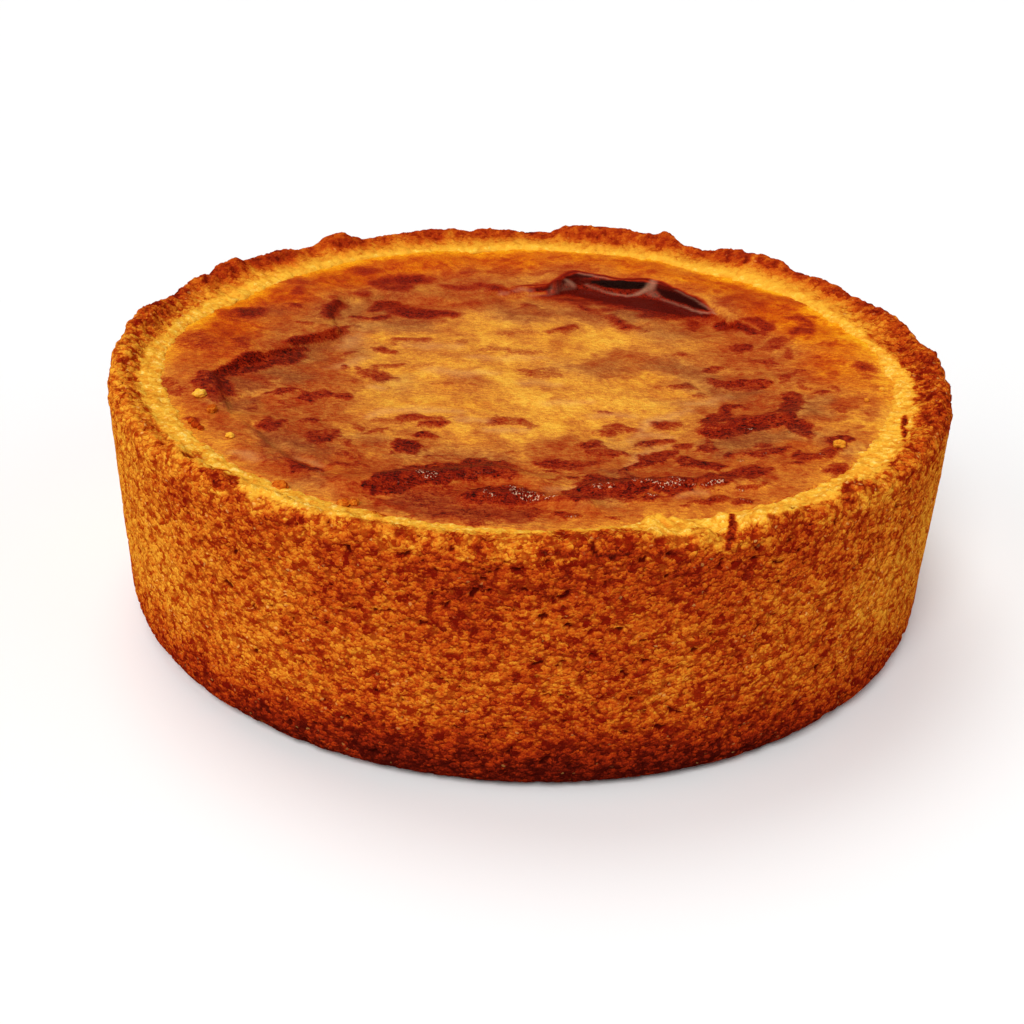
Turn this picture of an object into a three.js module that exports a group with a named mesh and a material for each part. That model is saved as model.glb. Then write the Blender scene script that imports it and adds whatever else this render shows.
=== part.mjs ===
// A whole Parisian flan, in millimetres, +Z up. The origin is the centre of its flat base.
// It has two pieces: a thick case of crumbly shortcrust, baked in a plain ring, and the egg custard
// that fills it. The custard rose round its edge, sank in the middle and folded its browned skin.
import * as THREE from "three";
import { mergeVertices } from "three/addons/utils/BufferGeometryUtils.js";

// Sizes of the pastry case, in millimetres. Radii are from the flan's axis, heights from its base.
const RING_RADIUS = 100; // outside of the wall at the top
const BASE_RADIUS = 98.6; // outside of the wall at the bottom
const BASE_CORNER = 6; // rounding where the wall meets the base
const CREST_RADIUS = 96.8; // top of the rough outer ridge of the rim
const CREST_HEIGHT = 58.4;
const SHOULDER_DROP = 4.4; // from the crest down to the straight wall
const LEDGE_OUTER_RADIUS = 93.2; // the pale ledge inside the ridge
const LEDGE_INNER_RADIUS = 88.9;
const LEDGE_HEIGHT = 56.3;
const LEDGE_ROLL = 0.5; // how far the ledge rolls down to the custard
const INNER_RADIUS = 88; // inside of the wall, where the custard starts
const FLOOR_HEIGHT = 8; // top of the pastry floor
const FLOOR_CORNER = 3;

// Roughness of the baked crust. The crags go in a little more than they stand out.
const CRAG_DEPTH = 0.5;
const CRAG_SPACING = 6.5;
const CRAG_SINK = 0.4;
const CASE_SEGMENTS = 156;
const WALL_ROWS = 6;

// Sizes of the custard, in millimetres.
const GAP = 0.3; // kept free between the custard and the pastry
const CUSTARD_EDGE_HEIGHT = 55.5;
const BASIN_DROP = 3; // how far the middle sank
const BASIN_OUTER_RADIUS = 84;
const BASIN_INNER_RADIUS = 50;
const SWELL_HEIGHT = 0.7; // the slow waves of the skin
const SWELL_SPACING = 15;
const STILL_EDGE = 7; // width of the edge band over which waves and folds die out
const CUSTARD_SEGMENTS = 108;
const CUSTARD_RING_STEP = 4.4;
const CUSTARD_FOLD_STEP = 3; // finer rings where the folds are
const FOLDED_FROM = 42;
const FOLDED_TO = 80;

// Lumps and chips of the ridge: where, in degrees anticlockwise from +X, how much the crest rises,
// half the width of the flat part and the width of each flank, both in degrees.
const RIDGE_LUMPS = [
  { at: 0, rise: 1.1, half: 2, flank: 4 },
  { at: 9, rise: -0.9, half: 1, flank: 3 },
  { at: 20, rise: 0.8, half: 3, flank: 4 },
  { at: 50, rise: 1.5, half: 4, flank: 5 },
  { at: 61, rise: -1.1, half: 1, flank: 3 },
  { at: 66, rise: 0.8, half: 0.7, flank: 2 },
  { at: 75.5, rise: 1, half: 9, flank: 2.4 },
  { at: 90, rise: -2, half: 1.4, flank: 3.2 },
  { at: 107, rise: -0.9, half: 13, flank: 3 },
  { at: 126, rise: 1.4, half: 1, flank: 3 },
  { at: 132, rise: -1, half: 1, flank: 2.4 },
  { at: 149, rise: 2.1, half: 1.6, flank: 2.6 },
  { at: 156, rise: 1.1, half: 1.5, flank: 2.4 },
  { at: 179, rise: 1.6, half: 7, flank: 8 },
  { at: 226, rise: 0.9, half: 4, flank: 3 },
  { at: 267, rise: -1.2, half: 1.2, flank: 3 },
  { at: 280, rise: 0.6, half: 6, flank: 3 },
  { at: 293.5, rise: -1.6, half: 0.8, flank: 1.8 },
  { at: 300, rise: 1.2, half: 2, flank: 2.4 },
  { at: 312, rise: 1, half: 2, flank: 3 },
  { at: 336, rise: -0.7, half: 1.5, flank: 3 },
];

// Folds of the custard's skin, each along a line of points. A ridge is its height and half its width.
// A step is how far the skin drops, over width, from the left of its line to the right of it. It fades
// out over reach to either side.
const FOLDS = [
  { step: 4.2, width: 2, reach: 12, line: [[9, 60], [13, 62.5], [23, 59], [33, 58], [39, 52], [51, 36]] },
  { step: 1.8, width: 1.6, reach: 8, line: [[-8, 53], [3, 55]] },
  { step: 2.2, width: 1.8, reach: 10, line: [[-68, -33], [-74, -16], [-66, -3], [-51, 17]] },
  { step: 1.6, width: 1.6, reach: 8, line: [[-50, 22], [-53, 31], [-51, 41], [-40, 46], [-26, 45]] },
  { ridge: 1.9, width: 4.5, line: [[-36, -72], [-22, -66], [-8, -60], [2, -65]] },
  { ridge: 1.6, width: 3, line: [[-11, -75], [2, -74], [12, -77]] },
  { ridge: 1.1, width: 2.6, line: [[14, -68], [30, -66], [46, -65]] },
  { ridge: 1.1, width: 3.5, line: [[42, -33], [53, -29], [63, -27]] },
  { ridge: 0.9, width: 3, line: [[44, -3], [57, -4]] },
  { ridge: -0.9, width: 1.6, line: [[-60, -43], [-52, -55], [-42, -65]] },
];

const PASTRY = { color: 0xc06a1c, roughness: 0.85, metalness: 0, flatShading: true };
const CUSTARD = { color: 0xd98a30, roughness: 0.35, metalness: 0, flatShading: true };

// A repeatable number from 0 to 1 for a whole-number place.
function speckle(i, j) {
  const s = Math.sin(i * 127.1 + j * 311.7) * 43758.5453;
  return s - Math.floor(s);
}

function ease(t) {
  const u = THREE.MathUtils.clamp(t, 0, 1);
  return u * u * (3 - 2 * u);
}

// Smooth noise from -1 to 1 over a plane of unit squares. It repeats every round squares along u.
function smoothNoise(u, v, round = 512) {
  const [i, j] = [Math.floor(u), Math.floor(v)];
  const [a, b] = [ease(u - i), ease(v - j)];
  const at = (di, dj) => speckle((i + di + round) % round, j + dj);
  const low = at(0, 0) * (1 - a) + at(1, 0) * a;
  const high = at(0, 1) * (1 - a) + at(1, 1) * a;
  return 2 * (low * (1 - b) + high * b) - 1;
}

// The crust's roughness on the unrolled wall, which closes on itself after a full turn.
function crag(turn, height, spacing) {
  const round = Math.round((2 * Math.PI * RING_RADIUS) / spacing);
  return smoothNoise(turn * round, height / spacing, round);
}

// How far the crest of the ridge stands above or below CREST_HEIGHT at an angle in degrees.
function ridgeRise(angle) {
  const turn = THREE.MathUtils.degToRad(angle);
  let rise = 0.3 * Math.sin(11 * turn) + 0.25 * Math.sin(23 * turn + 1.2);
  for (const lump of RIDGE_LUMPS) {
    const away = Math.abs(((angle - lump.at + 540) % 360) - 180);
    rise += lump.rise * ease((lump.half + lump.flank - away) / lump.flank);
  }
  return rise;
}

// A quarter round of points about a centre, from one angle to another, in degrees.
function arc(radius, height, size, from, to, steps) {
  const points = [];
  for (let k = 0; k <= steps; k++) {
    const a = THREE.MathUtils.degToRad(from + ((to - from) * k) / steps);
    points.push(new THREE.Vector2(radius + size * Math.cos(a), height + size * Math.sin(a)));
  }
  return points;
}

// The case's section, from the middle of the base, up the wall, over the rim and down to the floor.
function caseProfile() {
  const foot = new THREE.Vector2(BASE_RADIUS, BASE_CORNER);
  const shoulder = new THREE.Vector2(RING_RADIUS, CREST_HEIGHT - SHOULDER_DROP);
  const wall = [];
  for (let k = 1; k <= WALL_ROWS; k++) wall.push(foot.clone().lerp(shoulder, k / WALL_ROWS));
  const ridge = [
    [RING_RADIUS - 0.5, CREST_HEIGHT - 1.9],
    [RING_RADIUS - 1.6, CREST_HEIGHT - 0.5],
    [CREST_RADIUS, CREST_HEIGHT],
    [CREST_RADIUS - 1.7, CREST_HEIGHT - 0.7],
    [LEDGE_OUTER_RADIUS, LEDGE_HEIGHT + 0.3],
    [(LEDGE_OUTER_RADIUS + LEDGE_INNER_RADIUS) / 2, LEDGE_HEIGHT],
    [LEDGE_INNER_RADIUS, LEDGE_HEIGHT - LEDGE_ROLL],
    [INNER_RADIUS, LEDGE_HEIGHT - 1.6],
  ].map(([r, z]) => new THREE.Vector2(r, z));
  return [
    new THREE.Vector2(0, 0),
    ...arc(BASE_RADIUS - BASE_CORNER, BASE_CORNER, BASE_CORNER, -90, 0, 3),
    ...wall,
    ...ridge,
    ...arc(INNER_RADIUS - FLOOR_CORNER, FLOOR_HEIGHT + FLOOR_CORNER, FLOOR_CORNER, 0, -90, 2),
    new THREE.Vector2(0, FLOOR_HEIGHT),
  ];
}

// A closed lathed shape, Z up, with every vertex moved by move(x, y, z) to a new [x, y, z].
function latheSolid(profile, segments, move) {
  const geometry = new THREE.LatheGeometry(profile, segments).rotateX(Math.PI / 2);
  geometry.deleteAttribute("normal");
  geometry.deleteAttribute("uv");
  const merged = mergeVertices(geometry, 1e-4);
  const place = merged.getAttribute("position");
  for (let k = 0; k < place.count; k++) {
    place.setXYZ(k, ...move(place.getX(k), place.getY(k), place.getZ(k)));
  }
  merged.computeVertexNormals();
  return merged;
}

// Roughens the outside of the case and gives the ridge its lumps and chips.
function weatherCase(x, y, z) {
  const radius = Math.hypot(x, y);
  const angle = Math.atan2(y, x);
  const turn = (angle / (2 * Math.PI) + 1) % 1;
  const outside = radius > LEDGE_INNER_RADIUS && z > 0.5;
  if (!outside) return [x, y, z];
  const onRidge = ease((z - LEDGE_HEIGHT + LEDGE_ROLL) / (CREST_HEIGHT - LEDGE_HEIGHT));
  const rough = crag(turn, z, CRAG_SPACING) + 0.6 * crag(turn, z + RING_RADIUS, CRAG_SPACING / 2);
  const lift = onRidge * (ridgeRise(THREE.MathUtils.radToDeg(angle)) + CRAG_DEPTH * rough);
  const pastLedge = (radius - LEDGE_OUTER_RADIUS) / (CREST_RADIUS - LEDGE_OUTER_RADIUS);
  const onWall = ease(z / BASE_CORNER) * ease(pastLedge);
  const scale = 1 + (onWall * CRAG_DEPTH * (rough - CRAG_SINK)) / radius;
  return [x * scale, y * scale, z + lift];
}

// Where a point lies against a line of points: how far across it, positive on its left, and how far
// over either end.
function besideLine(line, x, y) {
  let best = null;
  line.slice(1).forEach(([bx, by], k) => {
    const [ax, ay] = line[k];
    const [dx, dy] = [bx - ax, by - ay];
    const length = Math.hypot(dx, dy);
    const along = ((x - ax) * dx + (y - ay) * dy) / length;
    const held = THREE.MathUtils.clamp(along, 0, length);
    const away = Math.hypot(x - ax - (dx * held) / length, y - ay - (dy * held) / length);
    const side = Math.sign(dx * (y - ay) - dy * (x - ax)) || 1;
    if (best === null || away < Math.abs(best.across)) {
      const pastEnd = (k === 0 && along < 0) || (k === line.length - 2 && along > length);
      const over = along < 0 ? -along : along - length;
      best = { across: side * away, over: pastEnd ? over : 0 };
    }
  });
  return best;
}

// How far one fold lifts the skin at a point.
function foldLift(fold, x, y) {
  const { across, over } = besideLine(fold.line, x, y);
  const fade = Math.exp(-((over / (2.5 * fold.width)) ** 2));
  if (fold.ridge) return fold.ridge * fade * Math.exp(-((across / fold.width) ** 2));
  const near = Math.exp(-((across / fold.reach) ** 2));
  return 0.5 * fold.step * fade * near * Math.tanh((1.6 * across) / fold.width);
}

// Height of the custard's surface.
function custardHeight(x, y) {
  const radius = Math.hypot(x, y);
  const sunk = ease((BASIN_OUTER_RADIUS - radius) / (BASIN_OUTER_RADIUS - BASIN_INNER_RADIUS));
  const waves = smoothNoise(x / SWELL_SPACING + RING_RADIUS, y / SWELL_SPACING + RING_RADIUS);
  const folds = FOLDS.reduce((sum, fold) => sum + foldLift(fold, x, y), 0);
  const free = ease((INNER_RADIUS - radius) / STILL_EDGE);
  return CUSTARD_EDGE_HEIGHT - BASIN_DROP * sunk + free * (SWELL_HEIGHT * waves + folds);
}

// The custard's section: its foot stands on the pastry floor, and its top has rings for the folds.
function custardProfile() {
  const outer = INNER_RADIUS - GAP;
  const foot = FLOOR_HEIGHT + GAP;
  const points = [
    new THREE.Vector2(0, foot),
    ...arc(outer - FLOOR_CORNER, foot + FLOOR_CORNER, FLOOR_CORNER, -90, 0, 2),
    new THREE.Vector2(outer, CUSTARD_EDGE_HEIGHT),
  ];
  let radius = outer - 2;
  while (radius > 0) {
    points.push(new THREE.Vector2(radius, CUSTARD_EDGE_HEIGHT));
    radius -= radius > FOLDED_FROM && radius < FOLDED_TO ? CUSTARD_FOLD_STEP : CUSTARD_RING_STEP;
  }
  points.push(new THREE.Vector2(0, CUSTARD_EDGE_HEIGHT));
  return points;
}

function shapeCustard(x, y, z) {
  const onTop = z > CUSTARD_EDGE_HEIGHT - 0.01 && Math.hypot(x, y) < INNER_RADIUS - 1;
  return [x, y, onTop ? custardHeight(x, y) : z];
}

function makeMesh(name, geometry, finish) {
  const mesh = new THREE.Mesh(geometry, new THREE.MeshStandardMaterial(finish));
  mesh.name = name;
  return mesh;
}

const flan = new THREE.Group();
flan.name = "parisian_flan";
flan.add(makeMesh("pastry_case", latheSolid(caseProfile(), CASE_SEGMENTS, weatherCase), PASTRY));
flan.add(makeMesh("custard", latheSolid(custardProfile(), CUSTARD_SEGMENTS, shapeCustard), CUSTARD));

export default flan;
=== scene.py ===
# A Parisian flan: the finish of its crumbly pastry case, its baked custard and a few loose crumbs.
# Shapes are worked out in millimetres, in the frame's axes, and turned into metres where a mesh is made.
import math
from types import SimpleNamespace

import bmesh
import bpy
import numpy as np
from mathutils import Euler, Matrix


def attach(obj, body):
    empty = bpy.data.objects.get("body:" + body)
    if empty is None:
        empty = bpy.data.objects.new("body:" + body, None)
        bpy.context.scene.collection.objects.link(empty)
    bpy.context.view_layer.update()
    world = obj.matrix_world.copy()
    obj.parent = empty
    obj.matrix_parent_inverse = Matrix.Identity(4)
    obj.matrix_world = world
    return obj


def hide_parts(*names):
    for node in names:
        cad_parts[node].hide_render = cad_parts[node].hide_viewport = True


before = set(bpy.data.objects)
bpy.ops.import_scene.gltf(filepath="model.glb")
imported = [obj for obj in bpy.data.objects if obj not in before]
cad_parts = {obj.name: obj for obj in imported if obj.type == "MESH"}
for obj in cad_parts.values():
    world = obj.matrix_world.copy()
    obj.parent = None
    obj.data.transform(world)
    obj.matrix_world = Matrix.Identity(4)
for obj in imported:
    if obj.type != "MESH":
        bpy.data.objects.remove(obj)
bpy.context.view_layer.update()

MM = 0.001
TURN = 2 * math.pi

# The pastry case, in millimetres, as in the solids.
RING_RADIUS = 100.0
BASE_RADIUS = 98.6
BASE_CORNER = 6.0
CREST_RADIUS = 96.8
CREST_HEIGHT = 58.4
SHOULDER_DROP = 4.4
LEDGE_OUTER_RADIUS = 93.2
LEDGE_INNER_RADIUS = 88.9
LEDGE_HEIGHT = 56.3
LEDGE_ROLL = 0.5
INNER_RADIUS = 88.0
FLOOR_HEIGHT = 8.0

# The custard, in millimetres, as in the solids.
CUSTARD_GAP = 0.3
CUSTARD_EDGE_HEIGHT = 55.5
BASIN_DROP = 3.0
BASIN_OUTER_RADIUS = 84.0
BASIN_INNER_RADIUS = 50.0
SWELL_HEIGHT = 0.7
SWELL_SPACING = 15.0
STILL_EDGE = 7.0

# The photo's camera, fitted to the flan's outline. Lengths in metres, angles in degrees.
CAMERA_PLACE = (0.0, -0.34269, 0.19353)
CAMERA_DOWN = 27.829
CAMERA_YAW = -0.552
CAMERA_ROLL = 1.768
CAMERA_LENS = 52.94
SENSOR = 36.0

# Lumps and chips of the ridge: degrees anticlockwise from +X, rise, half of the flat part, flank.
RIDGE_LUMPS = [
    (0, 1.1, 2, 4),
    (9, -0.9, 1, 3),
    (20, 0.8, 3, 4),
    (50, 1.5, 4, 5),
    (61, -1.1, 1, 3),
    (66, 0.8, 0.7, 2),
    (75.5, 1, 9, 2.4),
    (90, -2, 1.4, 3.2),
    (107, -0.9, 13, 3),
    (126, 1.4, 1, 3),
    (132, -1, 1, 2.4),
    (149, 2.1, 1.6, 2.6),
    (156, 1.1, 1.5, 2.4),
    (179, 1.6, 7, 8),
    (226, 0.9, 4, 3),
    (267, -1.2, 1.2, 3),
    (280, 0.6, 6, 3),
    (293.5, -1.6, 0.8, 1.8),
    (300, 1.2, 2, 2.4),
    (312, 1, 2, 3),
    (336, -0.7, 1.5, 3),
]

# Crumbs and hollows of the rim: x, y, rise and how far each spreads along and across the rim.
RIM_CRUMBS = [
    (27, -84.5, 1.5, 3.4, 1.6),
    (38, -83, 1.3, 2.6, 1.8),
    (48, -79, 0.9, 3, 1.6),
    (-63, -71, -1.8, 4, 1.6),
    (-56, -77, -0.9, 3, 1.3),
    (-75, -60, -0.8, 3, 1.2),
    (42.5, -87, -2.2, 0.8, 3),
    (68, -63, -0.8, 3, 1.4),
    (89, -40, 1.2, 3, 2),
]

# Folds of the skin, along lines of points. A step is (drop, width, reach), a ridge is (height, width).
FOLD_STEPS = [
    (4.2, 2, 12, [(9, 60), (13, 62.5), (23, 59), (33, 58), (39, 52), (51, 36)]),
    (1.8, 1.6, 8, [(-8, 53), (3, 55)]),
    (2.2, 1.8, 10, [(-68, -33), (-74, -16), (-66, -3), (-51, 17)]),
    (1.6, 1.6, 8, [(-50, 22), (-53, 31), (-51, 41), (-40, 46), (-26, 45)]),
]
FOLD_RIDGES = [
    (1.9, 4.5, [(-36, -72), (-22, -66), (-8, -60), (2, -65)]),
    (1.6, 3, [(-11, -75), (2, -74), (12, -77)]),
    (1.1, 2.6, [(14, -68), (30, -66), (46, -65)]),
    (1.1, 3.5, [(42, -33), (53, -29), (63, -27)]),
    (0.9, 3, [(44, -3), (57, -4)]),
    (-0.9, 1.6, [(-60, -43), (-52, -55), (-42, -65)]),
]

# The places of marks on the skin were measured as if it were level at this height, from the camera.
MARKS_HEIGHT = 55.65

# Marks of the skin are strokes: strength, softness of the edge, points (x, y, half width).
# Browned patches of the skin.
PATCHES = [
    # Left of the back.
    (0.92, 1.5, [(-38.5, 55.2, 2.2), (-36, 52.9, 5.3), (-33.3, 53.2, 4.3), (-29.4, 52.7, 2.7)]),
    (0.88, 1.4, [(-44, 47.1, 2.5), (-41.4, 48.2, 4.7), (-39.7, 50.9, 4.3)]),
    (0.88, 1.4, [(-39.2, 45.2, 3.1), (-36, 46.3, 4.2), (-33.7, 48.2, 2.1)]),
    (0.84, 1.4, [(-47, 40.4, 2.5), (-44.8, 39.8, 3.5)]),
    (0.68, 1.6, [(-45.2, 43, 2.5), (-43.5, 44.8, 2.5)]),
    (0.8, 1.5, [(-48.9, 59.2, 2.6), (-46.6, 58.6, 4.4), (-43.8, 58.9, 2.6)]),
    (0.72, 1.8, [(-66.2, 48.1, 2.5), (-62.9, 47.7, 3.8), (-61, 46.2, 2.1)]),
    (0.76, 1.4, [(-63.2, 44.4, 2.1), (-63, 39.6, 2.6)]),
    (0.68, 1.6, [(-55.3, 52.6, 2.2), (-53, 49.5, 2.6)]),
    (0.9, 1.1, [(-41.3, 29.4, 1.6), (-39.5, 32.6, 2.7), (-37.1, 32.1, 4.3), (-34.9, 28.5, 4.3)]),
    (0.98, 0.8, [(-43, 26.2, 1.2), (-41.7, 27.8, 2), (-40.8, 29.4, 0.8)]),
    (0.93, 0.9, [(-46.6, 21.5, 0.4), (-43.6, 21.8, 1.4), (-40.5, 22.1, 1.8), (-37, 23.1, 1.2)]),
    (0.9, 1.1, [(-34.7, 26.3, 3.4), (-31.1, 26.6, 4.5), (-27, 27, 4.5), (-22.3, 27.5, 3.5)]),
    (0.64, 1.6, [(-33.2, 20.6, 1.4), (-29.1, 21, 2.2), (-23.5, 22.2, 1.6)]),
    (0.93, 0.9, [(-51.7, 32.9, 2.6), (-51.9, 28.3, 3.2), (-52, 23.1, 2.2)]),
    (0.8, 1.1, [(-52.8, 37.5, 2), (-51.8, 37.6, 2)]),
    (0.66, 1.1, [(-56.6, 22.7, 1.2), (-54.7, 24.3, 1.7)]),
    (0.66, 1.8, [(-31.9, 63.6, 1.8), (-27.4, 64, 2.2)]),
    (0.84, 1.6, [(-23.6, 48.4, 2.1), (-19.8, 48, 3.1), (-16, 48.4, 3.1), (-13.9, 49.4, 2.6)]),
    (0.7, 1.8, [(-19.9, 59.6, 2.6), (-16.1, 61.8, 2.7)]),
    # Right of the back fold.
    (0.93, 0.9, [(49.2, 24.9, 3.4), (52.3, 27, 3.6), (54.3, 24.7, 3.2), (56.3, 21.3, 2.2)]),
    (0.85, 0.9, [(56.3, 30.7, 2.1), (58.9, 30.2, 3.2), (60.3, 26.7, 3.6), (60.6, 23.1, 1.8)]),
    (0.78, 1.1, [(56.5, 21.3, 2.5), (59, 20.8, 2.5)]),
    (0.82, 0.9, [(41.2, 27.8, 2), (41.3, 23.4, 2.9)]),
    (0.7, 1.2, [(43.6, 25.8, 2), (47.1, 29.8, 2.9)]),
    (0.8, 1.0, [(67.6, 32.5, 1.6), (70.1, 33.5, 1.6), (71.3, 31.4, 1.8)]),
    (0.83, 0.9, [(66.7, 22.3, 1.6), (69.2, 23.9, 2.6), (71.6, 24.2, 2.6)]),
    (0.8, 0.9, [(72.2, 33.7, 0.8), (73.8, 33.9, 1)]),
    (0.68, 1.1, [(70.9, 28.4, 2), (72.6, 27.9, 2)]),
    (0.74, 1.0, [(58.7, 9.8, 1.8), (60.5, 12.7, 2.7), (62.9, 17, 2.2)]),
    (0.85, 0.9, [(51, 7.7, 1.7), (52.4, 9.2, 3), (54.4, 11.4, 1.8)]),
    (0.66, 1.2, [(44.3, 13.9, 1), (48, 12.8, 1.3)]),
    (0.66, 0.9, [(36.6, 5.1, 1), (38.1, 4.5, 1)]),
    (0.66, 1.0, [(64.2, 10.3, 1.8), (64.2, 5, 1.7)]),
    (0.7, 1.4, [(50.6, 41.5, 2.6), (52.7, 46.5, 2.7)]),
    (0.64, 1.8, [(62.2, 46.6, 2.1), (64.4, 46.8, 2.1)]),
    (0.66, 1.6, [(68.5, 47.2, 2.1), (71.5, 45.2, 2.1)]),
    (0.7, 0.8, [(33.2, -16, 0.6), (36.1, -15.1, 1.6), (38.3, -16.1, 0.6)]),
    (0.66, 0.8, [(29, -16.3, 0.6), (31.6, -16.1, 0.8)]),
    (0.64, 0.8, [(39.4, -20.1, 1.2), (41.2, -21.1, 0.6)]),
    # Right.
    (0.92, 0.6, [(44.1, -39.7, 3.5), (47, -37.3, 4.2), (49.9, -35.5, 3.8), (52.9, -34.4, 3.2)]),
    (0.88, 0.8, [(38.7, -41.2, 1.8), (40.7, -40.5, 3.4), (43.2, -39.8, 4.2), (46.1, -37.9, 4.4),
        (49.5, -35.5, 4.3), (53, -34.1, 3.5), (56.6, -31.7, 3.2), (58.6, -28.7, 2.2)]),
    (0.85, 0.6, [(39.9, -37.9, 2.5), (42, -34.5, 2.9), (43.7, -31.1, 2.2), (44.2, -27.7, 1.6),
        (46.3, -27, 1.2), (48.9, -26.8, 0.6)]),
    (0.88, 0.6, [(57.4, -29.4, 2.2), (59.2, -25.9, 2.7), (60.8, -22.9, 2.7), (60.4, -19.5, 2.3),
        (58.8, -20.8, 1.2)]),
    (0.88, 0.6, [(58.6, -35.3, 1.8), (60.5, -36.2, 3.5), (61.4, -39.3, 2.5), (61.7, -41.9, 0.6)]),
    (0.78, 0.9, [(61, -32.9, 1.2), (63.7, -31.3, 0.8)]),
    (0.82, 0.6, [(38.8, -44.8, 0.4), (39.5, -47.3, 1.2), (39.7, -49.8, 1.6)]),
    (0.84, 0.6, [(36.7, -51.5, 1), (38.5, -50.4, 2.3), (39.6, -50.8, 1.3)]),
    (0.84, 0.5, [(48.6, -48.3, 0.4), (50.7, -46.9, 1.8), (52.3, -46.2, 1.2)]),
    (0.8, 0.6, [(41.3, -53.1, 0.4), (44.4, -51.4, 1.4), (47.3, -50.7, 1.8), (49.7, -51.9, 2.6),
        (52.2, -50.8, 1.8), (54.5, -48.1, 0.8), (57, -46.9, 0.3)]),
    (0.86, 0.5, [(33, -57.7, 1.3), (34.8, -56.6, 2.9), (36.8, -57.3, 2.1), (38.9, -57.7, 2.3),
        (41.1, -57, 0.9)]),
    (0.84, 0.5, [(33.1, -67, 1.6), (36.5, -66.5, 2.3), (39.6, -63.7, 2.6), (42.2, -62.1, 2.5),
        (45, -59.6, 2.1), (47.4, -58.7, 1.7)]),
    (0.8, 0.5, [(45.2, -63, 0.6), (46.8, -62.2, 1.8), (48.3, -59.8, 2.2), (50.5, -57.7, 1)]),
    (0.76, 0.6, [(42.7, -67.6, 0.6), (45.5, -66.5, 1.7), (48.3, -65.3, 0.9)]),
    (0.86, 0.4, [(35, -69.8, 0.2), (37.8, -69.8, 0.4), (40.5, -68.6, 0.2)]),
    (0.81, 0.6, [(58.2, -50.8, 2.2), (60.9, -51, 2.6), (63.6, -49.8, 2.6), (66.2, -47.1, 1.7)]),
    (0.68, 0.8, [(54.3, -55.5, 0.8), (57.8, -54.7, 1.2)]),
    (0.86, 0.6, [(66.4, -45.1, 1.3), (67.6, -44, 2.7), (69.4, -42.3, 1.7), (70.8, -42.2, 0.8)]),
    (0.78, 0.8, [(63.1, -58.6, 1), (65, -57, 1.8), (66.8, -55.2, 0.6)]),
    (0.84, 0.8, [(42.9, -12.1, 1.6), (45.4, -13.1, 2.3), (48.4, -14, 3.1), (52, -13.4, 3.6),
        (55, -11.9, 2.7), (57, -10.8, 1.3)]),
    (0.9, 1.1, [(47.9, -14.1, 1.6), (52.5, -13.4, 2)]),
    (0.78, 0.6, [(43.5, -6.5, 1.2), (45, -3.2, 1.6), (46.7, -3.1, 1)]),
    (0.7, 1.1, [(55.2, 1.5, 2.3), (57.6, 1.1, 3.2), (61.1, 0.2, 1.3)]),
    (0.68, 0.8, [(54.6, -5.5, 1.3), (56, -6, 1.2)]),
    (0.74, 0.8, [(60, -11.8, 1.2), (62.3, -7.3, 1.4), (64.6, -4.3, 1.7)]),
    (0.68, 0.9, [(64.5, -10.2, 1.4), (64.7, -13.8, 1.4)]),
    (0.76, 0.8, [(65.6, -17.3, 0.8), (67.5, -16.5, 1.6), (69.4, -15.2, 0.6)]),
    (0.64, 0.9, [(70.8, -12, 1.4), (72, -14.9, 1)]),
    (0.66, 1.0, [(69, -26.2, 0.6), (71.7, -24.8, 1.7)]),
    (0.8, 2.1, [(80.8, 1.3, 2.2), (81.4, -0.6, 2.2)]),
    (0.64, 0.8, [(54.7, -25.7, 1), (56.2, -23.3, 0.8)]),
    # Front, from left to right.
    (0.93, 0.6, [(-34.9, -73.2, 0.9), (-32.5, -73, 2.3), (-29.3, -72.7, 4), (-26.3, -70.3, 5.9),
        (-23.3, -68.2, 5.3), (-19.7, -67, 4.5), (-16.1, -65.8, 4.5), (-12.6, -64.6, 4.5),
        (-9.6, -63.4, 4.5)]),
    (0.84, 0.8, [(-9.6, -63.4, 4.8), (-6, -63.8, 4.3), (-3.1, -65.5, 2.7), (-1, -66.9, 0.6)]),
    (0.92, 0.5, [(-10.2, -75.7, 1.4), (-8.3, -75.1, 3.4), (-5.1, -74.8, 4.5), (-1.5, -74.8, 4),
        (1.5, -74.8, 2.2)]),
    (0.8, 0.8, [(1.5, -75.2, 3.4), (4.5, -75.8, 2), (6.9, -74.8, 1.2)]),
    (0.72, 1.0, [(-25.4, -75.5, 3.4), (-20, -76.4, 5.1), (-14.9, -77.8, 7.3), (-9.8, -80.8, 6.6),
        (-4.9, -82.1, 4.3), (1.4, -82.1, 3.2)]),
    (0.9, 0.4, [(-34.8, -74.5, 0.3), (-32.4, -77.6, 0.4), (-29.6, -79.5, 0.4), (-26.5, -80.8, 0.4),
        (-24, -80.8, 0.2)]),
    (0.92, 0.4, [(-17.2, -81.8, 0.2), (-15.4, -83.3, 0.8), (-14.1, -85.3, 0.3)]),
    (0.9, 0.4, [(-12.2, -84.7, 0.2), (-10.5, -86.7, 0.3), (-4.7, -86.4, 0.2)]),
    (0.7, 0.6, [(-23.1, -86, 0.6), (-19.5, -83.2, 0.9), (-17.4, -81.8, 0.3)]),
    (0.85, 0.6, [(2.8, -59.6, 2.2), (6.2, -59.6, 2.9), (9.5, -59.3, 3.1), (12.4, -59.8, 2.5),
        (15.6, -59.5, 1)]),
    (0.8, 0.5, [(2.8, -63.1, 0.4), (5.3, -63.2, 0.9), (7.6, -63.5, 0.3)]),
    (0.78, 0.4, [(8.2, -62.5, 0.3), (12.2, -62.6, 0.4), (15.5, -61.4, 0.3)]),
    (0.82, 0.8, [(9.6, -50.2, 0.8), (12.4, -49.3, 2.2), (14.8, -49.1, 2), (16.3, -50.2, 0.8)]),
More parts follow.
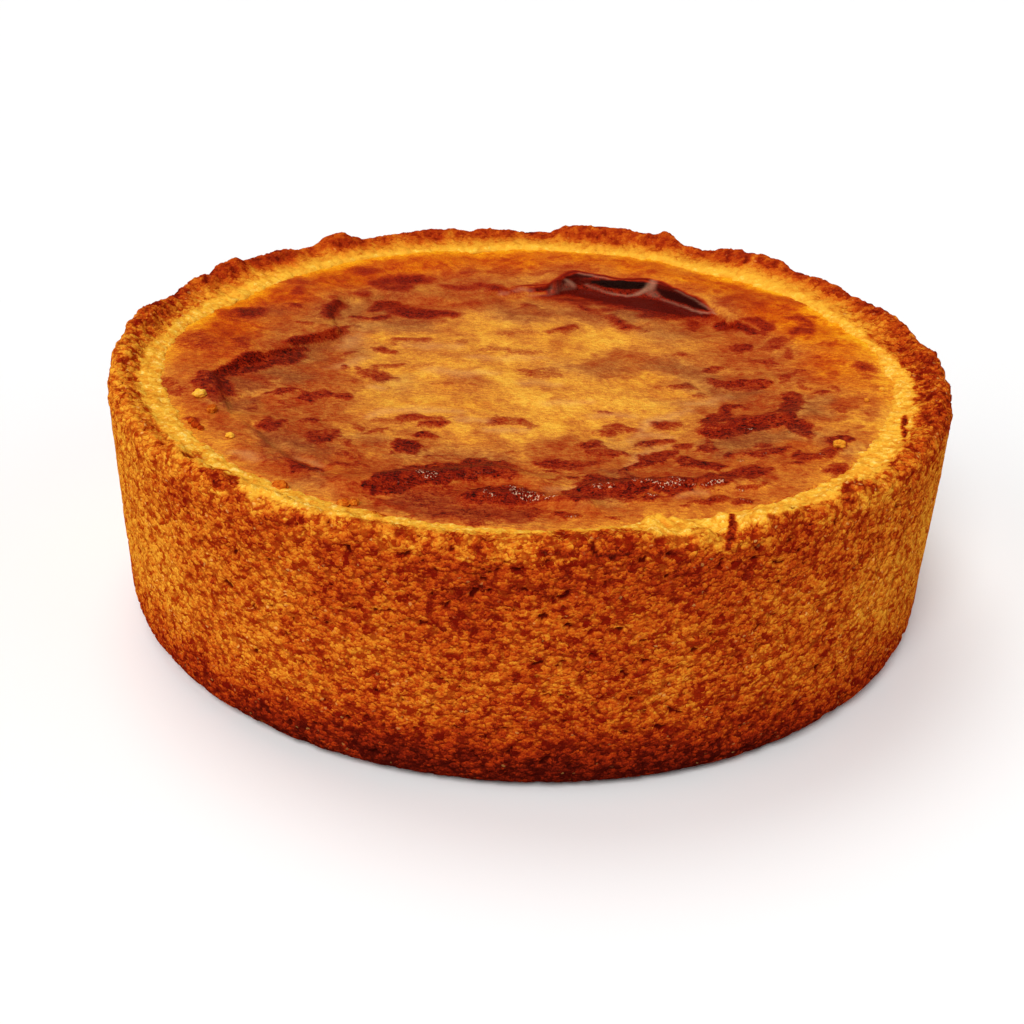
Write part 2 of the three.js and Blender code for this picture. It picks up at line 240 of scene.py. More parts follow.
    (0.76, 0.9, [(13.8, -53.9, 1.8), (16.8, -54.1, 2.9), (19.6, -53.4, 1.7)]),
    (0.76, 0.5, [(17.2, -32, 0.4), (18.1, -32.2, 1)]),
    (0.66, 1.0, [(15.6, -42.6, 1), (18, -42.9, 2.3), (20.7, -40.6, 2.1), (23.6, -40.9, 1)]),
    (0.8, 0.6, [(24, -50.1, 0.6), (26.5, -47.9, 1.7), (29.2, -46.1, 1.4), (32.2, -45.6, 0.6)]),
    (0.74, 0.8, [(32, -48.4, 0.8), (33.7, -48.8, 1.4), (35.3, -48.1, 0.8)]),
    (0.75, 1.1, [(28.1, -38.9, 0.8), (30.1, -38.2, 2.9), (32.3, -38, 2.2), (33.9, -38.4, 0.8)]),
    (0.86, 0.5, [(19.5, -61.3, 0.8), (22, -59.5, 1.7), (24.9, -57.3, 2.3), (27.8, -54.5, 2.5),
        (30, -52.8, 2), (32.4, -51.9, 0.8)]),
    (0.78, 0.6, [(20.2, -62.9, 1.6), (21.6, -64.2, 0.8)]),
    (0.86, 0.5, [(12.3, -68.1, 1.8), (14.9, -68.4, 4.4), (17.5, -69.5, 5.1), (20.4, -69.5, 4.7),
        (22.9, -67.8, 3.2), (25.8, -67.5, 2.3), (28.2, -67.4, 4.2), (30.9, -67.1, 4.5),
        (33.1, -67.4, 2.3)]),
    (0.84, 0.5, [(6.9, -73, 0.6), (8.9, -73.8, 2.5), (11.4, -72.9, 2.9), (13.6, -71.6, 2.9)]),
    (0.74, 0.5, [(4.3, -66.5, 0.3), (7, -65.4, 0.8), (10.5, -65.5, 0.8)]),
    (0.74, 0.6, [(18.3, -75.2, 0.6), (20.1, -75.1, 1.4), (22, -74.1, 0.9)]),
    (0.83, 0.5, [(23.6, -73.5, 0.4), (25.4, -73.4, 1.6), (27.6, -73.6, 0.8)]),
    (0.78, 0.5, [(27.8, -71, 0.4), (29.5, -72.2, 1.2), (31.5, -69.8, 0.4)]),
    (0.8, 0.4, [(5.7, -82.1, 0.8), (8.1, -82.4, 1.4), (10.8, -82.8, 0.9)]),
    (0.66, 0.6, [(16.3, -81.8, 0.8), (18.4, -82.4, 0.9)]),
    (0.8, 0.4, [(31.2, -76.8, 0.3), (31.9, -77.2, 0.8)]),
    (0.8, 0.5, [(32.7, -74.5, 0.4), (35.4, -73.9, 1.4), (37.9, -73.1, 1.6), (39.7, -72.7, 0.9)]),
    (0.74, 0.5, [(42.4, -73.8, 1.2), (44.3, -73.2, 1.4)]),
    (0.92, 0.6, [(-27.7, -53.3, 1.2), (-26.2, -53.7, 3.2), (-24.9, -53.1, 3.2), (-24, -51, 0.9)]),
    (0.74, 0.8, [(-28.6, -40.5, 1.3), (-27, -39.3, 2.3), (-24.4, -38, 2.1), (-21.7, -38.6, 1.6),
        (-19.6, -39.7, 1.3)]),
    (0.76, 0.8, [(-22.2, -41.5, 1.7), (-20.2, -41.4, 2.1), (-19.1, -40.7, 1)]),
    (0.7, 0.8, [(-35, -47.3, 0.6), (-32.5, -46.3, 2), (-30.2, -45.4, 0.8)]),
    (0.77, 0.6, [(-23.9, -47.9, 0.9), (-22, -47.3, 1.8), (-19.5, -48.1, 1.2)]),
    (0.6, 1.0, [(-33.5, -40.9, 1.3), (-31.5, -40.2, 1.3)]),
    (0.72, 0.5, [(-29.3, -54.4, 0.4), (-27.8, -56.8, 1)]),
    (0.74, 0.5, [(-21.6, -58.2, 0.3), (-19.1, -57.5, 0.8), (-16.1, -57.5, 0.6)]),
    (0.8, 0.2, [(-19.2, -61.6, 0.4), (-17.8, -61.5, 0.4)]),
    (0.64, 1.2, [(-7.5, -40.3, 1), (-5.1, -38, 2), (-2.2, -38.3, 1.7), (0.2, -40.2, 1)]),
    (0.62, 0.8, [(-4.2, -54.8, 0.6), (-2.7, -54.7, 1.3), (-1.3, -54.1, 0.4)]),
    (0.66, 0.6, [(-38.7, -45, 0.4), (-36.3, -45.3, 0.8)]),
    (0.97, 0.2, [(14.7, -79.4, 0.2), (15.1, -79.3, 0.2)]),
    (0.93, 0.2, [(16.4, -76.2, 0.2), (16.6, -76.2, 0.2)]),
    (0.97, 0.2, [(36.8, -57.6, 0.2), (37.1, -57.8, 0.2)]),
    (0.93, 0.2, [(30.9, -58.1, 0.2), (31.4, -58, 0.2)]),
    (0.97, 0.2, [(-54.6, -55.5, 0.3), (-54, -55.7, 0.3)]),
    (0.97, 0.2, [(-44.9, -60.1, 0.3), (-44.3, -59.8, 0.3)]),
    (0.93, 0.2, [(-61.2, -21.6, 0.6), (-60.9, -21.6, 0.6)]),
    # Middle.
    (0.74, 0.8, [(-39, 2.7, 0.6), (-36.4, 1.6, 1.6), (-33.5, -0.1, 1.2)]),
    (0.62, 1.0, [(-33.9, 5.9, 1), (-32.3, 8.4, 2.1), (-29.4, 9, 1.4), (-26.1, 8.6, 0.9)]),
    (0.68, 0.8, [(-46.5, -3.9, 0.8), (-44.3, -1.7, 1.6), (-42.7, -0.9, 0.8)]),
    (0.78, 0.5, [(-44.5, -10.7, 1.2), (-43.9, -11.3, 1.3)]),
    (0.7, 0.5, [(-41.4, -10.4, 0.8), (-40.8, -11.6, 0.8)]),
    (0.72, 1.0, [(-39.8, -14, 0.9), (-37.6, -14.4, 3), (-35.2, -15.4, 2.9), (-33.5, -15.9, 1.3)]),
    (0.64, 1.0, [(-36.7, -9.4, 1.2), (-33.4, -9.1, 1.2), (-30.7, -7.6, 0.6)]),
    (0.66, 0.8, [(-42.5, -20.9, 0.6), (-41.3, -19, 0.9)]),
    (0.5, 1.4, [(-18.1, 8, 1.4), (-16.6, 8.2, 1.4)]),
    (0.48, 1.5, [(-14.8, 2.3, 0.9), (-10, 4.1, 1.7), (-6.3, 4.4, 0.9)]),
    (0.48, 1.6, [(-7.9, 15.2, 1.4), (-4.1, 15.5, 2.7), (-0.3, 15.9, 1.4)]),
    (0.46, 1.5, [(-5, 2.5, 1), (-0.1, 3, 1.7), (3.6, 3.3, 1.2)]),
    (0.46, 1.2, [(-23.1, -19.1, 0.8), (-18.5, -18.7, 1.2), (-13.8, -18.3, 0.8)]),
    (0.44, 1.2, [(-27.4, -9.2, 0.8), (-23.9, -8.2, 1.2)]),
    (0.5, 1.4, [(-1.9, -8.7, 1.6), (1.3, -10.9, 3.2), (4.8, -9.4, 3.2)]),
    # The dark floor in front of the fold at the back.
    (0.97, 1.8, [(2.8, 42.3, 1.6), (6.3, 44.2, 3.1), (10.7, 47.8, 6.2), (15.5, 45.1, 6.2),
        (21.4, 41.7, 6.1), (28.3, 40.1, 7.2), (34.5, 37.6, 8.1), (41.1, 33.7, 4.9), (46.2, 32, 2.5)]),
    (0.93, 1.5, [(20.2, 29.4, 1.2), (21.8, 25.2, 2.1), (24.3, 22.2, 1.8), (27.9, 22.1, 0.9)]),
    (0.93, 1.9, [(30.5, 31.9, 3.9), (35.6, 30.2, 2.9), (40.9, 30.7, 2)]),
    (0.9, 1.4, [(11.7, 40, 2.1), (13.7, 34.8, 2), (16.9, 32.8, 1.4)]),
    (0.9, 1.8, [(3.4, 43.1, 1.6), (6.9, 44.2, 3.6), (10.7, 48.6, 6.4), (14.5, 47.4, 6.2),
        (18.7, 43.1, 4.7), (23.5, 41.2, 4), (30.2, 41.1, 4.5), (34.6, 38.4, 5.6), (38.5, 34.2, 3.9),
        (42.1, 32.3, 2)]),
    (0.88, 1.5, [(4.2, 41.6, 1.6), (7.9, 40.4, 3), (11.7, 40, 3.5), (14.9, 38.8, 3)]),
    (0.86, 1.5, [(31.9, 38.9, 6.1), (34.9, 34.6, 6), (36.7, 31, 2.9)]),
    (0.82, 1.5, [(14.8, 35.7, 2), (17.9, 32.9, 2), (20.6, 33.2, 3), (22.8, 35.7, 2)]),
    (0.86, 1.1, [(19.4, 29.3, 0.9), (20.8, 25.1, 1.6), (22.7, 21.6, 1.3), (26.3, 21.3, 0.8),
        (29.3, 23.7, 0.4)]),
    (0.76, 1.1, [(29.3, 23.7, 0.4), (32, 26.9, 0.8), (35.6, 29.4, 0.8)]),
    (0.74, 2.2, [(15.8, 32.7, 3.9), (18.9, 29.3, 2.9)]),
    (0.76, 1.9, [(40.9, 30.7, 2), (43.9, 29.5, 2.9), (46.9, 28.3, 2.5)]),
    (0.84, 1.5, [(40, 26.2, 2), (40.8, 23.4, 2.3)]),
    (0.88, 1.5, [(47.3, 26.2, 2), (49.1, 23.5, 2.9), (51.4, 25.8, 2)]),
    (0.82, 1.6, [(-8.9, 47.5, 3.1), (-6.4, 46.1, 3.6), (-5.1, 49.5, 2.1)]),
    (0.9, 1.6, [(-14.4, 50.2, 2.6), (-10.3, 48.1, 3.6), (-8.1, 48.4, 2.1)]),
    (0.84, 1.4, [(-4, 33.1, 0.8), (-1.6, 35.6, 2.3), (0.2, 35, 1.6)]),
    (0.84, 1.2, [(5.5, 17.9, 1), (8.1, 19.5, 2.5), (10.4, 20.5, 1.3)]),
    (0.74, 1.1, [(28.6, 20.4, 0.8), (29.9, 20.5, 0.9)]),
    (0.7, 1.1, [(33.9, 27.1, 0.8), (34.8, 26.4, 0.8)]),
    (0.93, 1.0, [(6.4, 48.2, 2.1), (9.1, 50.9, 4.3), (12.4, 53.7, 7.5), (18.4, 51.9, 8.6),
        (25.2, 50.1, 8.5), (31.4, 49.1, 8.5), (36.6, 44, 7.3), (42, 37.6, 5.1), (45.4, 34.9, 2)]),
    # The dark folds at the left: browned skin, with painted shade on their steps.
    (0.93, 1.6, [(-73.4, -17.6, 3), (-68.8, -14.7, 4.8), (-63.6, -8.7, 5), (-58.4, -2.4, 3.2)]),
    (0.92, 1.7, [(-72.1, -20.5, 3.5), (-68.8, -29, 2.3)]),
    (0.97, 1.2, [(-72.7, -17.5, 2), (-71, -15.6, 3.1), (-68.6, -12.9, 2.3), (-66.8, -9.6, 2.5)]),
    (0.93, 1.2, [(-70.3, -14.3, 1.6), (-67.9, -11.6, 3.2), (-65.8, -7.6, 4.4), (-63.3, -8, 4),
        (-61.8, -8.5, 2.5)]),
    (0.9, 1.1, [(-67, -5.8, 2.1), (-65.9, -4.1, 1.7), (-64.3, -6.2, 2.5)]),
    (0.84, 1.2, [(-62.8, -8, 2.5), (-61.4, -4.6, 2.1), (-60.5, -1.3, 1.7)]),
    (0.95, 1.5, [(-60, -10.5, 1.2), (-58.3, -8.8, 2.9), (-57, -6.8, 2.5), (-56.2, -2.2, 2.5)]),
    (0.94, 1.4, [(-58.7, 4.2, 1.7), (-56.6, 5.1, 3.5), (-54.5, 6, 3.5), (-52.7, 6.1, 2.6)]),
    (0.84, 1.2, [(-53.2, 6.1, 3.9), (-50.6, 9, 3.5), (-48.6, 12.7, 3.2), (-47.1, 15, 2.2),
        (-45.3, 16.6, 0.8)]),
    (0.8, 1.8, [(-74.1, -18.9, 2.3), (-72.2, -21.1, 2.3)]),
    (0.88, 0.8, [(-73.6, -21.2, 0.6), (-72, -24.6, 0.9), (-70.5, -28.6, 1), (-69.1, -31.3, 0.9),
        (-67.1, -33.4, 0.3)]),
    (0.86, 1.1, [(-70.9, -23.4, 1), (-68.9, -25, 1.2)]),
    (0.84, 1.0, [(-76.5, -17.3, 1.6), (-75.1, -22, 3.8), (-73.4, -27.7, 3)]),
    (0.8, 1.0, [(-72.5, -25.3, 1.4), (-71.2, -29.8, 2.2), (-69.8, -33.6, 0.6)]),
    (0.84, 0.8, [(-59.5, -27.6, 0.8), (-56.8, -27.4, 2.2), (-53.6, -25.9, 1.2)]),
    (0.82, 0.9, [(-51.8, -27.5, 0.8), (-49.1, -30.1, 2.9), (-46.8, -27.1, 2.2), (-44.4, -27.4, 1.4),
        (-41.8, -28.9, 1)]),
    (0.88, 1.0, [(-57.2, -41.3, 1.4), (-56.3, -45.5, 3.4), (-54.9, -43.2, 2.1)]),
    (0.7, 0.8, [(-61.3, -30.6, 0.4), (-61.6, -36.2, 1.2), (-62.1, -38.5, 0.4)]),
    (0.72, 1.0, [(-63, -15.5, 0.6), (-63.5, -17.9, 0.9)]),
    (0.62, 0.8, [(-59, -30.4, 0.2), (-56.5, -34.7, 0.4), (-54.2, -38.3, 0.6)]),
    (0.64, 1.1, [(-55.8, -33.5, 1.2), (-54.1, -35.6, 1.7)]),
    (0.78, 0.8, [(-49.5, -41.2, 0.6), (-48.3, -42.1, 2.1), (-47.6, -41, 0.6)]),
    (0.8, 1.1, [(-46.7, -52.9, 1.6), (-44.9, -50.7, 3.9), (-43, -48.5, 2.6), (-41.4, -49.4, 1.3)]),
    (0.72, 0.8, [(-39.9, -51.3, 0.9), (-38.2, -52.7, 1.6), (-36.3, -54.5, 0.6)]),
    (0.66, 1.0, [(-40, -58.7, 1.3), (-38.1, -57.1, 2), (-36.2, -58.9, 2.5)]),
    (0.76, 1.0, [(-39, -62.9, 1.8), (-36.8, -64.2, 2.1), (-34.9, -62.6, 1.8)]),
    (0.7, 0.5, [(-58.6, -48.8, 0.4), (-56.8, -51.2, 0.6), (-55.1, -54, 0.4)]),
    (0.86, 0.5, [(-52.8, -57.3, 0.2), (-51.1, -60.1, 0.4), (-49.7, -61.4, 0.2)]),
    (0.9, 0.8, [(-50.1, -62.4, 1.2), (-48.5, -65.1, 2.6), (-46.6, -65.4, 2.1), (-44.8, -66.2, 0.9),
        (-42.4, -67, 0.6)]),
    (0.62, 1.4, [(-55.6, -58.5, 1.8), (-53.9, -61.3, 2.5)]),
    (0.92, 1.6, [(-74.1, 23.9, 2.9), (-72.7, 23.3, 4.7), (-71.2, 24.9, 3.2)]),
    (0.7, 1.9, [(-70.8, 30.3, 2.3), (-68.7, 28.9, 2.3)]),
    (0.68, 1.8, [(-80, 23.3, 2), (-77.4, 20.7, 3.8), (-75.9, 17.2, 1.8)]),
    (0.78, 1.1, [(-71.4, 3.7, 3), (-70.5, 2.4, 2.6)]),
    (0.88, 1.1, [(-64.2, 30.1, 1.3), (-62.5, 29.6, 2.5), (-60.8, 30, 0.9)]),
    (0.78, 1.0, [(-59.5, 16.6, 0.9), (-58, 16.8, 1.8), (-57.1, 17.6, 0.9)]),
    (0.93, 1.5, [(-51.8, 33.7, 2), (-52, 29.1, 3.9), (-52.1, 23.9, 2.9)]),
    (0.66, 1.5, [(-82.8, 4.6, 2.6), (-81.1, 2.8, 2.6)]),
    (0.62, 1.5, [(-79.2, 1.6, 1.7), (-77.9, 0.4, 1.7)]),
    (0.66, 1.4, [(-77.7, 9.2, 1.3), (-77.1, 10, 1.3)]),
    (0.6, 1.4, [(-69, 10.8, 0.9), (-66.7, 12.4, 1), (-62.6, 12.1, 0.9)]),
    (0.6, 1.1, [(-70.6, 5.8, 1.2), (-67.9, 7.4, 1.2)]),
    (0.74, 0.6, [(-71.9, -38.8, 0.6), (-70.3, -38.6, 1.6)]),
    (0.8, 0.8, [(-74, -43.2, 0.9), (-72.7, -44.2, 1.3)]),
    # Along the left edge.
    (0.64, 3.2, [(-83, 5, 4.7), (-79, 0, 4.7)]),
    (0.7, 2.0, [(-72, 5, 2.6), (-70, 0, 2.6)]),
    (0.6, 2.2, [(-84, -24, 3.4), (-81, -28, 3.4)]),
]

# Soft brown shade of the skin, wider than its patches.
SHADES = [
    (0.58, 4, [(-34, 30, 6), (-22, 34, 6), (-8, 38, 5)]),
    (0.52, 5, [(-76, -4, 6), (-77, 12, 6)]),
    (0.64, 1.2, [(-27.6, -80.5, 1.7), (-20.6, -81.2, 3.8), (-13.7, -82.4, 4.2), (-6.7, -83.9, 3.3),
        (1.1, -84.6, 1.6)]),
    (0.46, 3.3, [(-87.3, -3.8, 5.1), (-82.7, -22.1, 5.3), (-75.6, -35.8, 4.3)]),
    (0.44, 4.7, [(-81.3, 21, 5.7), (-75.8, 40.7, 6.3)]),
    (0.52, 2.9, [(-8.4, 30.4, 3), (-0.5, 29.6, 5.2), (7.4, 31.2, 4.5), (15.2, 29.7, 3.7),
        (19.3, 25.7, 2.2)]),
    (0.5, 2.9, [(30.5, 22.4, 2.9), (40.7, 21.9, 3.6), (47, 21.1, 2.9)]),
    (0.46, 3.1, [(16.8, -5.8, 6.3), (26.7, -1.1, 6.5), (38.4, -6.3, 5)]),
    (0.62, 1.8, [(-71.3, -23.4, 2.9), (-67.7, -23.1, 4.6), (-63.3, -21.5, 4.7)]),
    (0.56, 1.8, [(-65.1, -19.3, 3.6), (-58.6, -16.3, 4.8), (-53.5, -12.1, 3.7)]),
    (0.55, 1.4, [(-55.7, -50.6, 2), (-51.5, -55.2, 4.4), (-46.9, -57.8, 3.9)]),
    (0.5, 1.9, [(-49.6, 5.1, 2), (-50.8, -4.3, 5.1), (-47.6, -10.4, 4.3)]),
    (0.54, 1.7, [(-66.4, -34.4, 2.7), (-62.9, -31.9, 2.8)]),
    (0.52, 6.0, [(-44, 48, 9), (-30, 36, 9), (-22, 42, 9)]),
    (0.50, 5.0, [(-46, 26, 8), (-30, 22, 8)]),
    (0.55, 5.0, [(-72, 22, 7), (-64, 26, 7)]),
    (0.56, 5.0, [(-52, 8, 8), (-62, -6, 8), (-68, -18, 8)]),
    (0.50, 6.0, [(-50, -18, 9), (-54, -34, 9)]),
    (0.54, 5.0, [(-48, -50, 8), (-46, -62, 8)]),
    (0.56, 5.0, [(-30, -70, 9), (-8, -72, 9), (0, -78, 9)]),
    (0.52, 6.0, [(8, -56, 8), (20, -66, 8), (34, -62, 8)]),
    (0.52, 6.0, [(46, -44, 9), (52, -30, 9), (50, -14, 9)]),
    (0.50, 6.0, [(52, 2, 8), (54, 18, 8), (50, 28, 8)]),
    (0.55, 4.0, [(6, 42, 8), (24, 36, 8), (40, 32, 8)]),
    (0.46, 6.0, [(40, -54, 7), (56, -50, 7)]),
    (0.48, 6.0, [(-4, 50, 7), (-20, 56, 7), (-30, 58, 7)]),
]

# Places where a greyish sheen is painted on the skin.
SHEEN_VEILS = [
    (1.0, 1.5, [(22.6, 31.9, 3), (26.2, 30.8, 4.5), (30, 31.9, 3.8)]),
    (0.8, 1.5, [(9, 40.5, 0.8), (12.8, 40.9, 1.3), (17, 38.2, 2.3)]),
    (0.8, 2.2, [(0.8, 36.6, 1.5), (5.3, 32.5, 3.8), (11.3, 30, 3.7), (16.7, 27.6, 2.2)]),
    (0.8, 2.2, [(-7, 29.7, 3.7), (-2.5, 27.2, 3.7), (3.5, 27.8, 3)]),
    (0.6, 2.1, [(31.7, 21.1, 2.9), (34.8, 17.8, 3.5)]),
    (0.8, 1.7, [(-71.8, -18.7, 1.8), (-67.7, -23.1, 4.6), (-64.1, -25.1, 4)]),
    (0.9, 1.6, [(-70.6, -31.4, 1.1), (-66.4, -34.4, 2.7), (-63.4, -34.2, 2.2)]),
    (0.9, 1.8, [(-62.9, -16.1, 1.8), (-59.9, -15.2, 3.6), (-56.1, -17.3, 4.2)]),
    (0.9, 2, [(-55.4, -6, 4.4), (-53.3, -0.6, 2.6), (-51, 0.9, 1.3)]),
    (0.9, 1.5, [(-54.7, -51, 2), (-51.6, -54.3, 3.9), (-48.3, -56.9, 3.9)]),
    (0.7, 1.5, [(-46.6, -59.3, 1.4), (-43.7, -59.5, 1.4), (-41.3, -55.4, 1.5)]),
    (0.8, 1.8, [(-50.8, 26.2, 3.7), (-46.7, 22.2, 3.6), (-47.1, 29.6, 3.7)]),
    (0.6, 2.2, [(-69.5, 22.9, 2.2), (-66.5, 24.7, 2.9)]),
    (0.9, 1.8, [(-50.3, 26.3, 4.4), (-47.1, 25.1, 4.4), (-45.3, 32.8, 3)]),
    (0.9, 1.2, [(-41.4, 25.6, 1.5), (-39.1, 25.9, 1.8)]),
    (1.0, 1.4, [(-46.6, 17.1, 2.1), (-41, 17, 2.8), (-34.8, 18.3, 3.3), (-27.9, 18.2, 1.8)]),
    (0.7, 1.9, [(-42.6, 36.9, 1.9), (-36.2, 39.9, 1.6)]),
    (0.8, 1.2, [(15.2, -47.8, 0.8), (18.2, -49.5, 1.7), (21.6, -50.8, 2), (24.7, -49, 1.2)]),
    (0.9, 0.9, [(14.9, -61.9, 0.9), (17.8, -62.7, 2.1), (20.2, -62.9, 1.4)]),
    (1.0, 1.3, [(40.3, -47.7, 1.7), (45, -45.8, 2.9), (49.6, -43.9, 3.1), (54.2, -41.5, 3.2),
        (58, -39.6, 2.7)]),
    (0.9, 0.8, [(40.2, -52.7, 0.8), (43.5, -50, 1)]),
    (0.9, 1.7, [(62.7, -27.3, 3.4), (65.9, -22.5, 2.3)]),
    (0.8, 1.3, [(63.1, -40.7, 1.9), (66, -39.4, 1.4)]),
    (0.9, 1, [(68.6, -48.4, 1.5), (70.6, -45.8, 1.5)]),
    (0.9, 1.4, [(45.8, -19, 1.5), (49.3, -20.4, 2.3), (53.1, -18.4, 1.5)]),
    (0.8, 1.8, [(38.4, -6.3, 3.8), (40.3, -12.3, 3.7), (42.6, -18.7, 2.4)]),
    (1.0, 1.9, [(30.6, -4.5, 2.5), (33.3, -4.3, 3.8), (35.6, -2.8, 2.6)]),
    (0.8, 2.1, [(31.3, 18.9, 2.6), (35, 17.9, 2.8)]),
    (0.7, 1.4, [(-31.8, -18.7, 1.2), (-30.1, -22.1, 1.7), (-29.5, -16.1, 1.8)]),
    (0.8, 1.6, [(-48.1, 4.5, 2), (-44.2, 5.6, 3.3), (-40.1, -0.7, 2.6)]),
    (0.6, 1.2, [(-39.9, -49.8, 1), (-36, -49.4, 1.2), (-32, -51.1, 0.8)]),
    (0.6, 1.2, [(-26.6, -58.1, 1.4), (-20.5, -55.7, 2), (-12, -56.9, 1.9), (-5.6, -57.4, 1)]),
    (0.6, 1.9, [(7.2, -5.4, 2.5), (14.4, -8.5, 3.1), (19.3, -5.6, 2.5)]),
    (0.5, 1.4, [(31.2, -24.9, 1.7), (37, -24.4, 2.3), (41.6, -24, 1.7)]),
    (0.6, 1.1, [(-45.5, -72.7, 0.9), (-42.5, -70.6, 1.8), (-41, -73.2, 0.9)]),
    (0.7, 1.2, [(-22.9, -77.5, 2.6), (-16.7, -80.5, 3.8), (-8.7, -83.7, 2.5), (-0.9, -83.1, 1.7)]),
    (0.5, 1, [(11.9, -77, 1.3), (15.9, -75.8, 1.7)]),
]

# Pale streaks of painted sheen on the skin.
PALE_SHEEN_STREAKS = [
    (1.0, 0.8, [(-35.4, -38.9, 0.2), (-32.2, -35.6, 0.8), (-27.7, -33.6, 0.7), (-18.7, -33.4, 0.7),
        (-14.8, -34.4, 0.2)]),
    (0.9, 0.7, [(-16.2, -38.4, 0.3), (-12.4, -38, 0.8), (-8, -38.7, 0.4)]),
    (0.9, 0.7, [(-8.7, -43.6, 0.3), (-5, -43.5, 0.8), (0, -42.3, 0.3)]),
    (0.8, 1, [(-24.9, -11.4, 0.6), (-20.9, -11, 1.2), (-14.2, -11.7, 1), (-9, -11.2, 0.5)]),
    (0.9, 0.8, [(24.7, -40.8, 0.3), (27.6, -35.7, 1.3), (31.3, -33.2, 0.9), (36.6, -29.5, 0.3)]),
    (0.9, 0.6, [(20.8, -59.1, 0.3), (23.9, -55, 0.5), (27.4, -50.8, 0.4), (30.3, -48.5, 0.2)]),
    (0.8, 0.7, [(22.2, -46.7, 0.3), (24.8, -43.4, 1.3), (27.9, -42.6, 0.8), (31.5, -43.9, 0.4)]),
    (0.8, 0.5, [(3.9, -71.5, 0.3), (8, -71, 0.4), (11, -69.6, 0.2)]),
    (0.8, 0.5, [(30.3, -73, 0.2), (33.2, -71.2, 0.4), (36.3, -70.8, 0.3)]),
    (0.7, 0.9, [(36.9, -25.5, 0.6), (41.1, -24, 1.2), (44.6, -21.4, 0.6)]),
    (0.8, 0.9, [(-45.7, -10.2, 1), (-43, -8.7, 1.2), (-40.6, -4.6, 0.5)]),
    (0.7, 1, [(-45.5, 1.4, 0.9), (-44.4, 6.9, 1.3), (-42.4, 11.2, 0.7)]),
    (0.9, 0.5, [(-36.5, -22.4, 0.3), (-34.4, -22.8, 0.5)]),
    (0.8, 0.6, [(-47.8, -61.3, 0.2), (-44.9, -62.5, 0.5), (-43, -64.7, 0.2)]),
    (0.7, 0.8, [(-2.2, -16.7, 0.5), (2.5, -15.7, 0.7), (6.2, -17.1, 0.4)]),
    (0.7, 0.8, [(3.7, -29, 0.4), (7.6, -26.9, 0.8), (14, -26.4, 0.5)]),
    (0.7, 0.8, [(14.9, -34.6, 0.4), (18.8, -33.2, 0.8), (23.2, -33.9, 0.4)]),
    (0.7, 0.9, [(-14.7, -1.6, 0.5), (-7.4, -0.9, 0.8), (2.4, -0.7, 0.5)]),
    (0.7, 0.9, [(-30.6, 5.5, 0.8), (-24.8, 4.7, 1.3), (-18.7, 5.3, 0.8)]),
    (0.8, 0.6, [(-61.4, -59, 0.6), (-57.7, -60.6, 1.1), (-55.8, -61.9, 0.5)]),
]

# Brightest, least baked places of the middle.
BRIGHTS = [
    (1.0, 1.3, [(-11.8, -10.9, 1), (-7.4, -14.7, 1.5), (-3.1, -19.7, 2.4), (0.7, -24.1, 3.5),
        (2.8, -29.6, 2.8)]),
    (0.8, 1.3, [(-18, -7, 1.3), (-14.5, -4.8, 1.5), (-11.5, -7.1, 0.8)]),
    (0.7, 1.2, [(-26.5, -12.2, 1.2), (-22.1, -13.6, 1.2)]),
    (0.8, 1.1, [(-23.8, -28.5, 1.4), (-20.3, -27.1, 0.9)]),
    (0.8, 1, [(-15.8, -41, 1.1), (-14.1, -44, 1.2)]),
    (0.9, 1, [(-5.1, -46.4, 1), (-2.5, -48.2, 1.5), (-0.2, -54, 2), (1.5, -56.8, 1.5)]),
    (1.0, 1.3, [(2.7, -45.7, 3.1), (5.3, -43.4, 3.6)]),
    (0.9, 1.7, [(7.1, -28.1, 1.7), (13.9, -29.8, 2.8), (22, -26.8, 3.4), (28.1, -27.4, 2.8)]),
    (0.7, 1.9, [(26.2, -11.1, 3.1), (28.8, -7.2, 2.5)]),
    (0.7, 2.1, [(13.6, 13.7, 2.8), (19.8, 11.6, 2.7), (23.7, 14.7, 2.1)]),
    (0.6, 2, [(7.2, 1.7, 1.3), (17.1, 2, 1.6)]),
]

